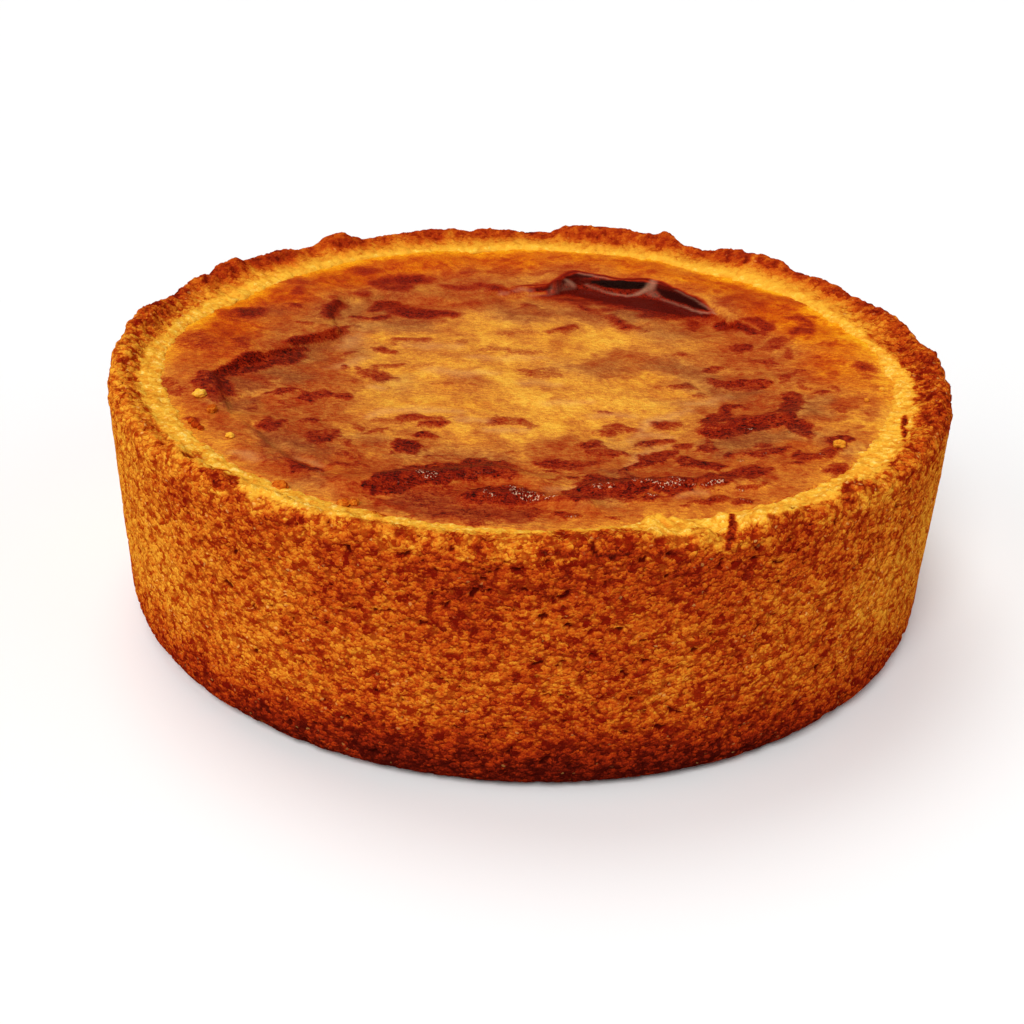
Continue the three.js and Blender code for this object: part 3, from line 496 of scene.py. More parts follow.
# Blistered places with fine wrinkles that catch the light.
WRINKLED = [
    (1.0, 0.4, [(-21.6, -65.3, 0.6), (-20.5, -67.1, 1.7), (-19.8, -68.4, 0.7)]),
    (0.45, 0.5, [(-31.8, -72.5, 0.9), (-27.7, -73.1, 1.1)]),
    (0.55, 0.4, [(-25.6, -71.1, 0.8), (-24, -71.4, 0.8)]),
    (0.5, 0.7, [(-15.5, -68.5, 0.9), (-11.5, -66.4, 1.8), (-7.5, -64.2, 1.4)]),
    (0.9, 0.3, [(-8.4, -72.9, 0.4), (-7.3, -74.6, 1.1), (-6.4, -75.8, 0.4)]),
    (0.9, 0.4, [(-4.6, -70.6, 0.4), (-3, -70.9, 0.9), (-1.3, -71.5, 1)]),
    (1.0, 0.4, [(-2.5, -72.9, 0.6), (-0.7, -73.6, 1.3), (1.3, -75, 2), (3.3, -75.1, 1.6),
        (4.9, -74.3, 0.7), (6.3, -73.5, 0.3)]),
    (1.0, 0.4, [(14.5, -68.9, 0.7), (15.9, -69.2, 1.4), (17, -67.8, 0.8)]),
    (0.5, 0.5, [(19.2, -67.6, 0.9), (20.6, -68.9, 1.2)]),
    (0.9, 0.4, [(22.5, -66.4, 0.5), (23.5, -67.3, 0.8)]),
    (1.0, 0.4, [(25.4, -67.1, 0.5), (27, -67.4, 1.1), (29, -68, 1.5), (30.5, -66.7, 2.1)]),
    (1.0, 0.3, [(25.1, -72.5, 0.4), (26.4, -73.3, 0.4)]),
    (1.0, 0.3, [(34.1, -68.3, 0.4), (34.9, -68.2, 0.5)]),
    (1.0, 0.4, [(36.6, -67.6, 0.5), (38.3, -66.1, 1), (40.2, -64.1, 0.8)]),
    (0.9, 0.3, [(42.9, -67.6, 0.4), (44.4, -68.3, 0.5)]),
    (0.9, 0.2, [(44.7, -54.5, 0.4), (45.5, -54.7, 0.4)]),
    (0.9, 0.3, [(48.3, -39.6, 0.4), (49.5, -39.2, 0.4)]),
    (0.8, 0.3, [(57, -39.1, 0.4), (57.6, -38.6, 0.4)]),
    (1.0, 0.2, [(50.8, -51.9, 0.3), (51.2, -51.8, 0.3)]),
    (1.0, 0.3, [(62.6, -49.9, 0.4), (62.9, -50.4, 0.4)]),
    (1.0, 0.2, [(8.3, -83.4, 0.3), (10.2, -83.1, 0.4)]),
    (0.6, 0.4, [(35.4, -73.5, 0.4), (38.3, -72.8, 0.4)]),
    (0.8, 0.3, [(43.1, -72.9, 0.4), (44.6, -74.1, 0.4)]),
    (0.6, 0.4, [(-42.6, -67.4, 0.5), (-41.4, -68.7, 0.5)]),
]

# The hollow under the lip of the back fold: deeply browned skin, darkened to nearly black by painted shade.
FOLD_HOLLOW_SHADE = [
    (0.91, 1.5, [(2.8, 42.8, 0.8), (6.3, 44.8, 1.8), (10.7, 48, 4), (15.5, 45.6, 4), (21.4, 42.2, 4),
        (28.3, 40.4, 4.8), (34.5, 38, 5.5), (41.1, 34, 3.4), (46.2, 32.2, 1.6)]),
    (1.0, 1.1, [(17.4, 55.9, 2.1), (20.2, 54.5, 3.3), (24.5, 53.7, 3.7), (29, 54.2, 3.7),
        (31.5, 55.7, 1.7)]),
    (0.98, 1.1, [(34.8, 51.1, 2), (36.8, 48.1, 3.2), (39.8, 44.4, 3.2), (43.2, 40, 2.3),
        (46.1, 36.5, 1.2)]),
    (0.96, 1.2, [(9.7, 58.5, 1.7), (12.5, 61.3, 2.6), (14.8, 60.7, 2.6)]),
    (0.94, 1.2, [(-0.7, 47.1, 0.8), (3.4, 48.7, 1.6), (6.9, 52.3, 2), (9.1, 56.7, 1.7)]),
    (1.0, 1, [(18, 56, 1.8), (21.9, 55.5, 3), (26.3, 55.6, 3.2), (29.9, 55.9, 2)]),
    (0.9, 1.2, [(15, 58.2, 1.3), (18.5, 56, 2.9), (29.6, 55.9, 3.3), (31.9, 56.5, 1.3)]),
    (0.92, 1.3, [(12, 60.4, 2.6), (12.2, 55.4, 3.3), (15.2, 55.7, 3.3)]),
    (0.97, 0.9, [(36.4, 50.4, 1.6), (38.9, 47.1, 2.7), (42.4, 43.1, 2.5), (45, 39, 0.9)]),
    (0.92, 1.2, [(34.3, 55.1, 2.1), (37, 50.5, 4.1), (42.5, 43.8, 3.6), (46.3, 38, 0.8)]),
    (0.9, 1.3, [(-0.2, 49.2, 1.2), (2.3, 49.4, 2.4), (5, 51.3, 2), (7.2, 55.7, 1.3)]),
    (0.86, 1, [(-4, 50.4, 0.6), (-0.8, 52, 0.8), (5, 53.8, 0.8), (7.8, 59.1, 1), (9.8, 63.6, 1.2),
        (12, 65.1, 1.4)]),
    (0.88, 0.8, [(12.6, 65.2, 0.9), (18.7, 61.9, 1), (24.8, 59.6, 1), (31.2, 60.3, 1.2),
        (35.3, 57.7, 1.2), (39.7, 50.8, 1), (45.1, 43.3, 0.6)]),
    (0.88, 1, [(10.3, 59.4, 2.1), (10.8, 55.2, 2.1)]),
]

# Painted highlights along the lips of the back fold.
FOLD_LIP_HIGHLIGHTS = [
    (0.50, 0.6, [(13.1, 63.4, 0.2), (15.9, 62.5, 0.5), (18.7, 60.2, 0.4), (20.9, 58.8, 0.2)]),
    (0.41, 0.8, [(-4.8, 46.3, 0.4), (-2.9, 48.1, 1.0), (-1, 47.5, 0.8)]),
    (0.27, 0.8, [(-0.7, 43.8, 0.2), (4.2, 43.7, 0.2), (7.4, 48.3, 0.4), (10.5, 50.2, 0.5)]),
    (0.45, 0.8, [(5.3, 48.9, 0.4), (7.7, 52, 0.7), (9.9, 53, 0.7)]),
    (0.77, 0.6, [(9.1, 56.2, 0.4), (10.5, 53.5, 0.6), (11, 51.5, 0.3)]),
    (0.45, 0.5, [(14.6, 54, 0.2), (17.3, 50.3, 0.4), (20, 48.1, 0.4)]),
    (0.68, 0.5, [(20, 48.1, 0.2), (22.6, 46.6, 0.4), (25.3, 45.8, 0.2)]),
    (0.68, 0.6, [(25.3, 45.6, 0.2), (28.1, 46.7, 0.5), (30.6, 49.4, 1.0)]),
    (0.90, 0.6, [(28.4, 47.8, 0.4), (30.7, 49.9, 0.9), (31.9, 52, 1.0)]),
    (0.77, 0.6, [(31.9, 51.6, 1.0), (33, 56.7, 0.7), (33.4, 59.2, 0.4)]),
    (0.36, 0.8, [(32, 49.2, 1.2), (33.2, 46.1, 0.7)]),
    (0.41, 0.5, [(34.7, 43.9, 0.2), (38.2, 40.3, 0.3), (41.4, 37.1, 0.3)]),
    (0.68, 0.4, [(40.4, 37.8, 0.2), (42.9, 35.8, 0.4), (44.6, 34.4, 0.5)]),
    (0.77, 0.4, [(44.6, 34.2, 0.4), (46.7, 34.4, 0.4), (48.5, 34.1, 0.2)]),
    (0.54, 0.4, [(45, 41.7, 0.2), (46.3, 38.8, 0.3), (48.2, 35.9, 0.2)]),
    (0.41, 0.4, [(39.3, 51.5, 0.2), (42.7, 46.2, 0.2), (45.5, 41.8, 0.2)]),
    (0.50, 0.6, [(-8.5, 43.9, 0.5), (-7.2, 44.4, 0.7)]),
]

# Places of the rim and the wall that are paler or browner than the rest: tone, softness, points. Marks in
# # its hollows and cracks are painted shade.
RIM_MARKS = [
    (0.3, 0.5, [(34.3, -86.2, 1.6), (36.1, -89.6, 1.8), (37.3, -93.5, 1.2)]),
    (0.62, 0.4, [(-65.9, -67.9, 1.1), (-63.8, -69.1, 2.2), (-60.7, -72.5, 2.6), (-58.8, -75, 1.6)]),
    (0.97, 0.4, [(-62.7, -72.7, 0.4), (-62.1, -72.6, 0.4)]),
    (0.6, 0.6, [(65.5, -66.3, 1.2), (68, -64, 2.2), (70.4, -64.5, 2)]),
    (0.78, 0.3, [(64.4, -72.3, 0.8), (65.9, -71.1, 0.9)]),
    (0.8, 0.3, [(40.8, -79.5, 0.3), (40.6, -84, 0.7), (39.8, -88.5, 0.6), (38.5, -93.2, 0.4)]),
    (0.62, 0.5, [(48.8, -79.9, 0.9), (50.2, -82.7, 1.4), (48.7, -87.1, 1.4)]),
    (0.76, 0.5, [(4, -97.4, 0.5), (9.6, -97.4, 0.8), (14.3, -97.8, 1), (16.5, -98, 1), (21.8, -96.3, 0.9),
        (26.5, -96.2, 1.2), (30, -94.8, 0.6)]),
    (0.97, 0.3, [(14.3, -97.6, 0.6), (16.3, -97.9, 0.8)]),
    (0.9, 0.2, [(85.5, -28, 0.2), (85, -30.9, 0.4), (83.8, -34.2, 0.3), (83.6, -37.4, 0.4),
        (82.5, -41.2, 0.2)]),
    (0.66, 0.5, [(-50.7, -86.8, 0.6), (-46.7, -90.2, 1.4), (-44.5, -90.8, 0.9)]),
    (0.7, 0.4, [(-44.7, -85.5, 0.6), (-42.8, -88.3, 0.9)]),
    (0.6, 0.3, [(-28.8, -83.5, 0.6), (-27.4, -84.2, 0.8)]),
    (0.5, 0.3, [(-69.2, -59.6, 0.8), (-68.3, -62, 0.7)]),
    (0.52, 0.3, [(-35.9, -80.2, 0.7), (-34.4, -81, 0.7)]),
    (0.62, 0.4, [(-0.6, -87.6, 0.4), (-0.1, -87.5, 0.4)]),
    (0.6, 0.6, [(6.9, -89.4, 1), (9.7, -90.4, 1.4), (12.2, -91.8, 1)]),
]

# Loose crumbs on the skin: x and y as seen, half of their length, width and height, turn in degrees, tone.
LOOSE_CRUMBS = [
    (-74.8, -29.2, 1.5, 1.2, 1.0, 20, 0.14),
    (-70.3, -37.5, 1.3, 1.1, 1.0, 60, 0.46),
    (-63.8, -50.9, 0.9, 0.8, 0.7, 0, 0.16),
    (-73.4, -44.3, 0.9, 0.7, 0.7, 30, 0.60),
    (-72.1, -46.2, 1.1, 0.8, 0.8, -20, 0.66),
    (-70.7, -47.7, 0.7, 0.6, 0.6, 10, 0.56),
    (-49.3, -73.9, 1.7, 1.4, 1.2, 0, 0.50),
    (-35.8, -80.2, 1.3, 1.0, 0.9, 15, 0.44),
    (-33.7, -79.8, 1.0, 0.9, 0.8, 70, 0.50),
    (67.8, -44.6, 1.4, 1.2, 1.0, 0, 0.30),
    (83.1, -13.2, 0.7, 0.6, 0.6, 0, 0.22),
    (78.3, -19.7, 0.6, 0.5, 0.5, 0, 0.36),
    (-18.5, -62.2, 0.9, 0.3, 0.3, 0, 0.66),
]


def ease(t):
    t = np.clip(t, 0, 1)
    return t * t * (3 - 2 * t)


def mix(a, b, t):
    return a + (b - a) * t


# Repeatable noise, the same as in the solids, for the broad forms.
def speckle(i, j):
    s = np.sin(i * 127.1 + j * 311.7) * 43758.5453
    return s - np.floor(s)


def smooth_noise(u, v):
    i, j = np.floor(u), np.floor(v)
    a, b = ease(u - i), ease(v - j)
    low = mix(speckle(i, j), speckle(i + 1, j), a)
    high = mix(speckle(i, j + 1), speckle(i + 1, j + 1), a)
    return 2 * mix(low, high, b) - 1


# Repeatable noise in space, for the crumb and the skin. Its lattice is tilted, so that it shows nowhere.
LATTICE_TILT = np.array(Euler((0.4, 0.25, 0.6)).to_matrix())


def lattice_random(cell, seed):
    """A number from 0 to 1 for each row of whole numbers."""
    h = cell[..., 0] * 374761393 + cell[..., 1] * 668265263 + cell[..., 2] * 1442695041 + seed * 974634777
    h = (h ^ (h >> 13)) & 0xFFFFFFFF
    h = (h * 1274126177) & 0xFFFFFFFF
    h = (h ^ (h >> 16)) & 0xFFFFFFFF
    return h / 4294967295.0


def noise(points, size, seed):
    """Smooth noise from about -1 to 1, with features about size across. size may be one number per axis,
    and seed picks the pattern."""
    p = points / np.asarray(size, dtype=float) @ LATTICE_TILT
    cell = np.floor(p).astype(np.int64)
    f = p - cell
    w = f * f * f * (f * (f * 6 - 15) + 10)
    total = 0.0
    for corner in np.ndindex(2, 2, 2):
        offset = np.array(corner)
        spin = TURN * lattice_random(cell + offset, seed)
        lift = 2 * lattice_random(cell + offset, seed + 1) - 1
        flat = np.sqrt(np.maximum(0, 1 - lift * lift))
        d = f - offset
        dot = d[:, 0] * np.cos(spin) * flat + d[:, 1] * np.sin(spin) * flat + d[:, 2] * lift
        weight = np.prod(np.where(offset == 1, w, 1 - w), axis=1)
        total = total + dot * weight
    return total * 1.6


def fractal(points, size, seed, octaves=3, gain=0.5):
    """Noise with finer noise added to it, each octave half as large and gain times as strong."""
    total = 0.0
    for k in range(octaves):
        total = total + gain**k * noise(points, np.asarray(size, dtype=float) / 2**k, seed + 7 * k)
    return total


def beside_line(line, x, y):
    """How far each point lies across a line, positive on its left, and how far over either end."""
    best = np.full(x.shape, np.inf)
    across = np.zeros(x.shape)
    over = np.zeros(x.shape)
    last = len(line) - 2
    for k, ((ax, ay), (bx, by)) in enumerate(zip(line, line[1:])):
        dx, dy = bx - ax, by - ay
        length = math.hypot(dx, dy)
        along = ((x - ax) * dx + (y - ay) * dy) / length
        held = np.clip(along, 0, length)
        away = np.hypot(x - ax - dx * held / length, y - ay - dy * held / length)
        side = np.where(dx * (y - ay) - dy * (x - ax) < 0, -1.0, 1.0)
        past = ((along < 0) & (k == 0)) | ((along > length) & (k == last))
        beyond = np.where(along < 0, -along, along - length)
        closer = away < best
        best = np.where(closer, away, best)
        across = np.where(closer, side * away, across)
        over = np.where(closer, np.where(past, beyond, 0), over)
    return across, over


def ridge_rise(turn):
    """How far the crest stands above CREST_HEIGHT, at angles in radians."""
    degrees = np.degrees(turn)
    rise = 0.3 * np.sin(11 * turn) + 0.25 * np.sin(23 * turn + 1.2)
    for at, height, half, flank in RIDGE_LUMPS:
        away = np.abs((degrees - at + 540) % 360 - 180)
        rise = rise + height * ease((half + flank - away) / flank)
    return rise


def custard_height(x, y):
    """Height of the custard's surface."""
    radius = np.hypot(x, y)
    sunk = ease((BASIN_OUTER_RADIUS - radius) / (BASIN_OUTER_RADIUS - BASIN_INNER_RADIUS))
    waves = smooth_noise(x / SWELL_SPACING + RING_RADIUS, y / SWELL_SPACING + RING_RADIUS)
    folds = np.zeros(x.shape)
    for drop, width, reach, line in FOLD_STEPS:
        across, over = beside_line(line, x, y)
        fade = np.exp(-((over / (2.5 * width)) ** 2)) * np.exp(-((across / reach) ** 2))
        folds += 0.5 * drop * fade * np.tanh(1.6 * across / width)
    for height, width, line in FOLD_RIDGES:
        across, over = beside_line(line, x, y)
        folds += height * np.exp(-((over / (2.5 * width)) ** 2)) * np.exp(-((across / width) ** 2))
    free = ease((INNER_RADIUS - radius) / STILL_EDGE)
    return CUSTARD_EDGE_HEIGHT - BASIN_DROP * sunk + free * (SWELL_HEIGHT * waves + folds)


# Meshes made of rings round the flan's axis.
def resample(points, spacing):
    """The same path with a point about every spacing, and its corners rounded a little."""
    path = np.array(points, dtype=float)
    for _ in range(3):
        cut = np.empty((2 * len(path) - 2, 2))
        cut[0::2] = 0.75 * path[:-1] + 0.25 * path[1:]
        cut[1::2] = 0.25 * path[:-1] + 0.75 * path[1:]
        path = np.vstack([path[:1], cut, path[-1:]])
    run = np.concatenate([[0], np.cumsum(np.linalg.norm(np.diff(path, axis=0), axis=1))])
    at = np.linspace(0, run[-1], round(run[-1] / spacing) + 1)
    return np.stack([np.interp(at, run, path[:, 0]), np.interp(at, run, path[:, 1])], axis=1)


def arc(radius, height, size, start, end, steps):
    angles = np.radians(np.linspace(start, end, steps + 1))
    return [(radius + size * math.cos(a), height + size * math.sin(a)) for a in angles]


def ring_steps(radius, segments, step, widest, growth):
    """Radius and number of points of rings going inwards, with fewer points as they get smaller."""
    steps = []
    while radius > 1.5 * step:
        radius -= step
        step = min(widest, step * growth)
        if TURN * radius / segments < 0.55 * step and segments % 2 == 0:
            segments //= 2
        steps.append((radius, segments))
    return steps


def ring_points(rings):
    """Angle, radius and height of every point of a list of rings (radius, height, segments)."""
    turn = np.concatenate([np.arange(n) * TURN / n for _, _, n in rings])
    radius = np.concatenate([np.full(n, r) for r, _, n in rings])
    height = np.concatenate([np.full(n, z) for _, z, n in rings])
    return turn, radius, height


def halved_faces(fine, nf, coarse, nc):
    """Triangles from a ring to one of half its points, or of one point."""
    if nc == 1:
        k = np.arange(nf)
        return np.stack([fine + k, fine + (k + 1) % nf, np.full(nf, coarse)], axis=1)
    k = np.arange(nc)
    after = coarse + (k + 1) % nc
    mid = fine + 2 * k + 1
    end = fine + (2 * k + 2) % nf
    return np.concatenate([
        np.stack([fine + 2 * k, mid, coarse + k], axis=1),
        np.stack([mid, after, coarse + k], axis=1),
        np.stack([mid, end, after], axis=1),
    ])


def ring_faces(rings):
    """Faces between neighbouring rings. Each ring has as many points as the last, or half, or double."""
    starts = np.concatenate([[0], np.cumsum([n for _, _, n in rings])])
    quads, triangles = [], []
    for k in range(len(rings) - 1):
        a, na = starts[k], rings[k][2]
        b, nb = starts[k + 1], rings[k + 1][2]
        if na == nb:
            j = np.arange(na)
            n = (j + 1) % na
            quads.append(np.stack([a + j, a + n, b + n, b + j], axis=1))
        elif na > nb:
            triangles.append(halved_faces(a, na, b, nb))
        else:
            triangles.append(halved_faces(b, nb, a, na)[:, ::-1])
    return [np.concatenate(quads), np.concatenate(triangles)]


def make_mesh(name, points, face_sets, attributes, material):
    """A smooth mesh object from points in millimetres and arrays of faces."""
    loops = np.concatenate([f.ravel() for f in face_sets])
    sizes = np.concatenate([np.full(len(f), f.shape[1]) for f in face_sets])
    starts = np.concatenate([[0], np.cumsum(sizes)[:-1]])
    mesh = bpy.data.meshes.new(name)
    mesh.vertices.add(len(points))
    mesh.vertices.foreach_set("co", (points * MM).astype(np.float32).ravel())
    mesh.loops.add(len(loops))
    mesh.loops.foreach_set("vertex_index", loops.astype(np.int32))
    mesh.polygons.add(len(sizes))
    mesh.polygons.foreach_set("loop_start", starts.astype(np.int32))
    mesh.polygons.foreach_set("use_smooth", np.ones(len(sizes), dtype=bool))
    for key, values in attributes.items():
        layer = mesh.attributes.new(key, "FLOAT", "POINT")
        layer.data.foreach_set("value", values.astype(np.float32))
    mesh.update(calc_edges=True)
    mesh.validate()
    mesh.materials.append(material)
    piece = bpy.data.objects.new(name, mesh)
    bpy.context.scene.collection.objects.link(piece)
    return piece


def place(turn, radius, height):
    return np.stack([radius * np.cos(turn), radius * np.sin(turn), height], axis=1)


# The pastry case.
CASE_SEGMENTS = 1280
CASE_STEP = 0.48
UNDERSIDE_STEP = 5.0
INNER_CORNER = 3.0  # bevel of the hidden edge between the inner wall and the floor
HIDDEN_WALL_HEIGHT = 30.0  # height of the one ring on the hidden part of the inner wall
RIM_DEPTH = 8.0  # how far below the ledge the rim's zones may reach
SHOULDER_MARGIN = 0.8  # how far below the shoulder the rim starts
SHOULDER_FADE = 2.4  # height over which the wall turns into the rim
HOT_SIDE = math.radians(273)  # the side that browned most
# The rim by angle, as seen at the ledge's height: degrees, outer and inner radius of its yellow band, and
# how brown the ridge is outside it.
RIM_BAND = [
    (0, 91, 87, 0.60), (10, 88.5, 86, 0.62), (20, 88.5, 84.5, 0.66), (30, 88.8, 84.5, 0.66),
    (40, 89.5, 84.5, 0.66), (46, 90.5, 84, 0.64), (52, 87.5, 82.5, 0.64), (60, 85.6, 82.3, 0.63),
    (65, 87.6, 83.3, 0.65), (75, 85.1, 81.8, 0.65), (83, 85.6, 81.3, 0.65), (92, 86.6, 82.3, 0.61),
    (100, 84.1, 80.8, 0.63), (108, 84.1, 80.8, 0.63), (116, 85.1, 82.8, 0.59), (124, 86.6, 84.3, 0.63),
    (132, 87.3, 83.5, 0.62), (138, 86.5, 83, 0.66), (145, 88.3, 83, 0.66), (155, 88, 83, 0.66),
    (160, 90, 84, 0.64), (168, 90.8, 86, 0.64), (176, 91.2, 87.5, 0.52), (184, 93.3, 88, 0.44),
    (200, 93.2, 87.5, 0.42), (224, 93.8, 88.2, 0.45), (231, 96.5, 90, 0.48), (245, 95, 90.5, 0.50),
    (250, 93, 90.5, 0.52), (262, 93, 90.5, 0.52), (272, 91.5, 88.5, 0.56), (283, 90, 88, 0.58),
    (287, 94.5, 86, 0.50), (295, 96.5, 90, 0.46), (303, 94, 90, 0.50), (310, 95, 90, 0.44),
    (318, 94.5, 88.8, 0.46), (326, 94, 87, 0.48), (340, 92.5, 86.5, 0.62), (350, 92, 87, 0.62),
]


def case_section():
    """Section of what shows of the case, from under its foot, up the wall, over the rim and a little in."""
    return resample([
        (BASE_RADIUS - BASE_CORNER - 3, 0),
        *arc(BASE_RADIUS - BASE_CORNER, BASE_CORNER, BASE_CORNER, -90, 0, 6),
        (RING_RADIUS, CREST_HEIGHT - SHOULDER_DROP),
        (RING_RADIUS - 0.5, CREST_HEIGHT - 1.9),
        (RING_RADIUS - 1.6, CREST_HEIGHT - 0.5),
        (CREST_RADIUS, CREST_HEIGHT),
        (CREST_RADIUS - 1.7, CREST_HEIGHT - 0.7),
        (LEDGE_OUTER_RADIUS, LEDGE_HEIGHT + 0.3),
        ((LEDGE_OUTER_RADIUS + LEDGE_INNER_RADIUS) / 2, LEDGE_HEIGHT),
        (LEDGE_INNER_RADIUS, LEDGE_HEIGHT - LEDGE_ROLL),
        (INNER_RADIUS, LEDGE_HEIGHT - 1.6),
        (INNER_RADIUS, LEDGE_HEIGHT - 5),
    ], CASE_STEP)


def case_rings(section):
    """All rings of the case, from the middle of the underside to the middle of the floor, and the number
    of the first ring of the section."""
    under = ring_steps(section[0][0], CASE_SEGMENTS, 1.0, UNDERSIDE_STEP, 1.5)
    floor_edge = INNER_RADIUS - INNER_CORNER
    floor = ring_steps(floor_edge, CASE_SEGMENTS, 1.0, UNDERSIDE_STEP, 1.5)
    rings = [(0, 0, 1)] + [(radius, 0, n) for radius, n in reversed(under)]
    first = len(rings)
    rings += [(radius, height, CASE_SEGMENTS) for radius, height in section]
    rings += [(INNER_RADIUS, HIDDEN_WALL_HEIGHT, CASE_SEGMENTS)]
    rings += [(INNER_RADIUS, FLOOR_HEIGHT + INNER_CORNER, CASE_SEGMENTS)]
    rings += [(floor_edge, FLOOR_HEIGHT, CASE_SEGMENTS)]
    rings += [(radius, FLOOR_HEIGHT, n) for radius, n in floor] + [(0, FLOOR_HEIGHT, 1)]
    return rings, first


def crumb_relief(points, turn):
    """Height of the crumb on the pastry, in millimetres, and how deep in a pit each point is, 0 to 1.
    Tops are flat, as the ring pressed them, and the pits between them are ragged."""
    rough = fractal(points, (3.6, 3.6, 2.6), 11, 4, 0.6)
    plates = ease((rough + 0.14) / 0.24)
    open_side = 0.5 + 0.5 * np.cos(turn - HOT_SIDE)
    threshold = -0.72 + 0.16 * open_side + 0.14 * noise(points, 13, 31)
    pit = ease((threshold - rough) / 0.35)
    crack = ease(1 - np.abs(noise(points, (6.5, 6.5, 2.4), 37)) / 0.05)
    crack = 0.8 * crack * ease((noise(points, 6, 43) - 0.15) / 0.2)
    depth = np.clip(np.maximum(pit, crack), 0, 1)
    height = 0.16 * noise(points, 8, 53) + 0.1 * rough + 0.26 * plates - 0.6 * depth
    return height, depth


def by_angle(turn, column):
    """A column of RIM_BAND at angles in radians."""
    degrees = [row[0] for row in RIM_BAND]
    values = [row[column] for row in RIM_BAND]
    return np.interp(np.degrees(turn) % 360, degrees, values, period=360)


def zones(turn, radius, height):
    """How much each point belongs to the outer ridge and to the pale ledge inside it, from 0 to 1."""
    round_rim = place(turn, np.full(radius.shape, RING_RADIUS), np.zeros(radius.shape))
    drift = 0.9 * fractal(round_rim, 7, 71) + 0.4 * noise(round_rim, 1.7, 73)
    high = height > LEDGE_HEIGHT - RIM_DEPTH
    outer = np.minimum(by_angle(turn, 1) + 0.35 * ledge_reach(turn), LEDGE_OUTER_RADIUS + 1) + drift
    ledge = np.where(high, ease((outer - radius) / 1.2), 0)
    ridge = on_shoulder(height, drift) * (1 - ledge)
    return ridge, ledge


def on_shoulder(height, drift=0.0):
    """How much a height belongs to the rim rather than to the wall, from 0 to 1."""
    return ease((height - CREST_HEIGHT + SHOULDER_DROP + SHOULDER_MARGIN - drift) / SHOULDER_FADE)


def ledge_reach(turn):
    """How far the ledge reaches in over the custard, in millimetres. What lies below the ledge's height
    seems nearer to the middle at the back."""
    seen_lower = 2 * np.maximum(0, np.sin(turn))
    return INNER_RADIUS + 0.2 - by_angle(turn, 2) - seen_lower


def band(turn, seen_radius, drift):
    """How much each point belongs to the rim's yellow band by where it is seen, from 0 to 1."""
    return ease((by_angle(turn, 1) + drift - seen_radius + 0.5) / 1.4)


def rim_lift(flat):
    """Height that the single crumbs and hollows of the rim add."""
    total = np.zeros(len(flat))
    for x, y, rise, along, across in RIM_CRUMBS:
        radius = math.hypot(x, y)
        dx, dy = flat[:, 0] - x, flat[:, 1] - y
        out = (dx * x + dy * y) / radius
        side = (dy * x - dx * y) / radius
        total += rise * np.exp(-((out / across) ** 2) - (side / along) ** 2)
    return total


def relief_directions(section, rings, first):
    """How far out and up one millimetre of relief moves each point of the case."""
    tangent = np.gradient(section, axis=0)
    tangent /= np.linalg.norm(tangent, axis=1)[:, None]
    start = sum(n for _, _, n in rings[:first])
    span = slice(start, start + len(section) * CASE_SEGMENTS)
    out, up = np.zeros((2, sum(n for _, _, n in rings)))
    out[span] = np.repeat(tangent[:, 1], CASE_SEGMENTS)
    up[span] = np.repeat(-tangent[:, 0], CASE_SEGMENTS)
    return out, up


def rim_roughness(flat):
    """Fine lumps of the ledge and of the ridge, in millimetres."""
    ledge = 0.36 * noise(flat, 2.6, 97) + 0.40 * noise(flat, 1.4, 101)
    ridge = 0.5 * noise(flat, 4.2, 103) + 0.4 * noise(flat, 2.0, 107) + 0.34 * noise(flat, 1.1, 109)
    return ledge, ridge


def ledge_overhang(flat, turn, radius, height):
    """How far crumbs of the ledge reach in over the edge of the custard, in millimetres."""
    reach = ledge_reach(turn) + 0.7 + 0.8 * noise(flat, 6, 151) + 0.5 * noise(flat, 1.8, 157)
    inner_slope = CREST_RADIUS - 2
    at_custard = ease((inner_slope - radius) / (inner_slope - LEDGE_INNER_RADIUS))
    at_custard = at_custard * ease((height - LEDGE_HEIGHT + 3.2) / 2)
    return np.maximum(reach, 0.1) * at_custard


def make_case(material):
    section = case_section()
    rings, first = case_rings(section)
    turn, radius, height = ring_points(rings)
    out, up = relief_directions(section, rings, first)
    flat = place(turn, radius, height)
    ridge, ledge = zones(turn, radius, height)
    crumb, pit = crumb_relief(flat, turn)
    rough_ledge, rough_ridge = rim_roughness(flat)
    # The broad forms of the solid.
    on_ridge = ease((height - LEDGE_HEIGHT + LEDGE_ROLL) / (CREST_HEIGHT - LEDGE_HEIGHT))
    on_rim = ease((height - LEDGE_HEIGHT + 1.5) / 1.5)
    lift = on_ridge * (ridge_rise(turn) + 0.3 * fractal(flat, 5, 83)) + on_rim * rim_lift(flat)
    # The crumb on top of them. The ridge's lumps are rounder at the back.
    calm = mix(1, 0.55, ease((flat[:, 1] - 10) / 50))
    relief = mix(crumb, rough_ledge, ledge) + ridge * rough_ridge * calm
    # It dies away at the foot and under the custard.
    foot = ease(height / 3.0)
    under = ease((height - LEDGE_HEIGHT + 5) / 2)
    held = np.where(radius < INNER_RADIUS + CUSTARD_GAP, under, foot)
    relief = relief * held
    moved_radius = radius + out * relief - ledge_overhang(flat, turn, radius, height)
    moved_height = np.where(height > 0, np.maximum(0, height + up * relief + lift), 0)
    points = place(turn, moved_radius, moved_height)
    # The crumb of the rim is less distinct towards the back.
    crisp = mix(1, 0.5, ease((points[:, 1] + 10) / 80) * ease((height - 48) / 6))
    attributes = {
        "tone": case_tone(flat, points, turn, height, rough_ridge, rough_ledge),
        # how deep in a pit each point is; the material darkens it there as painted shade
        "crevice": pit * held * (1 - 0.95 * ledge) * crisp,
        "crisp": crisp,
    }
    return make_mesh("pastry_shell", points, ring_faces(rings), attributes, material)


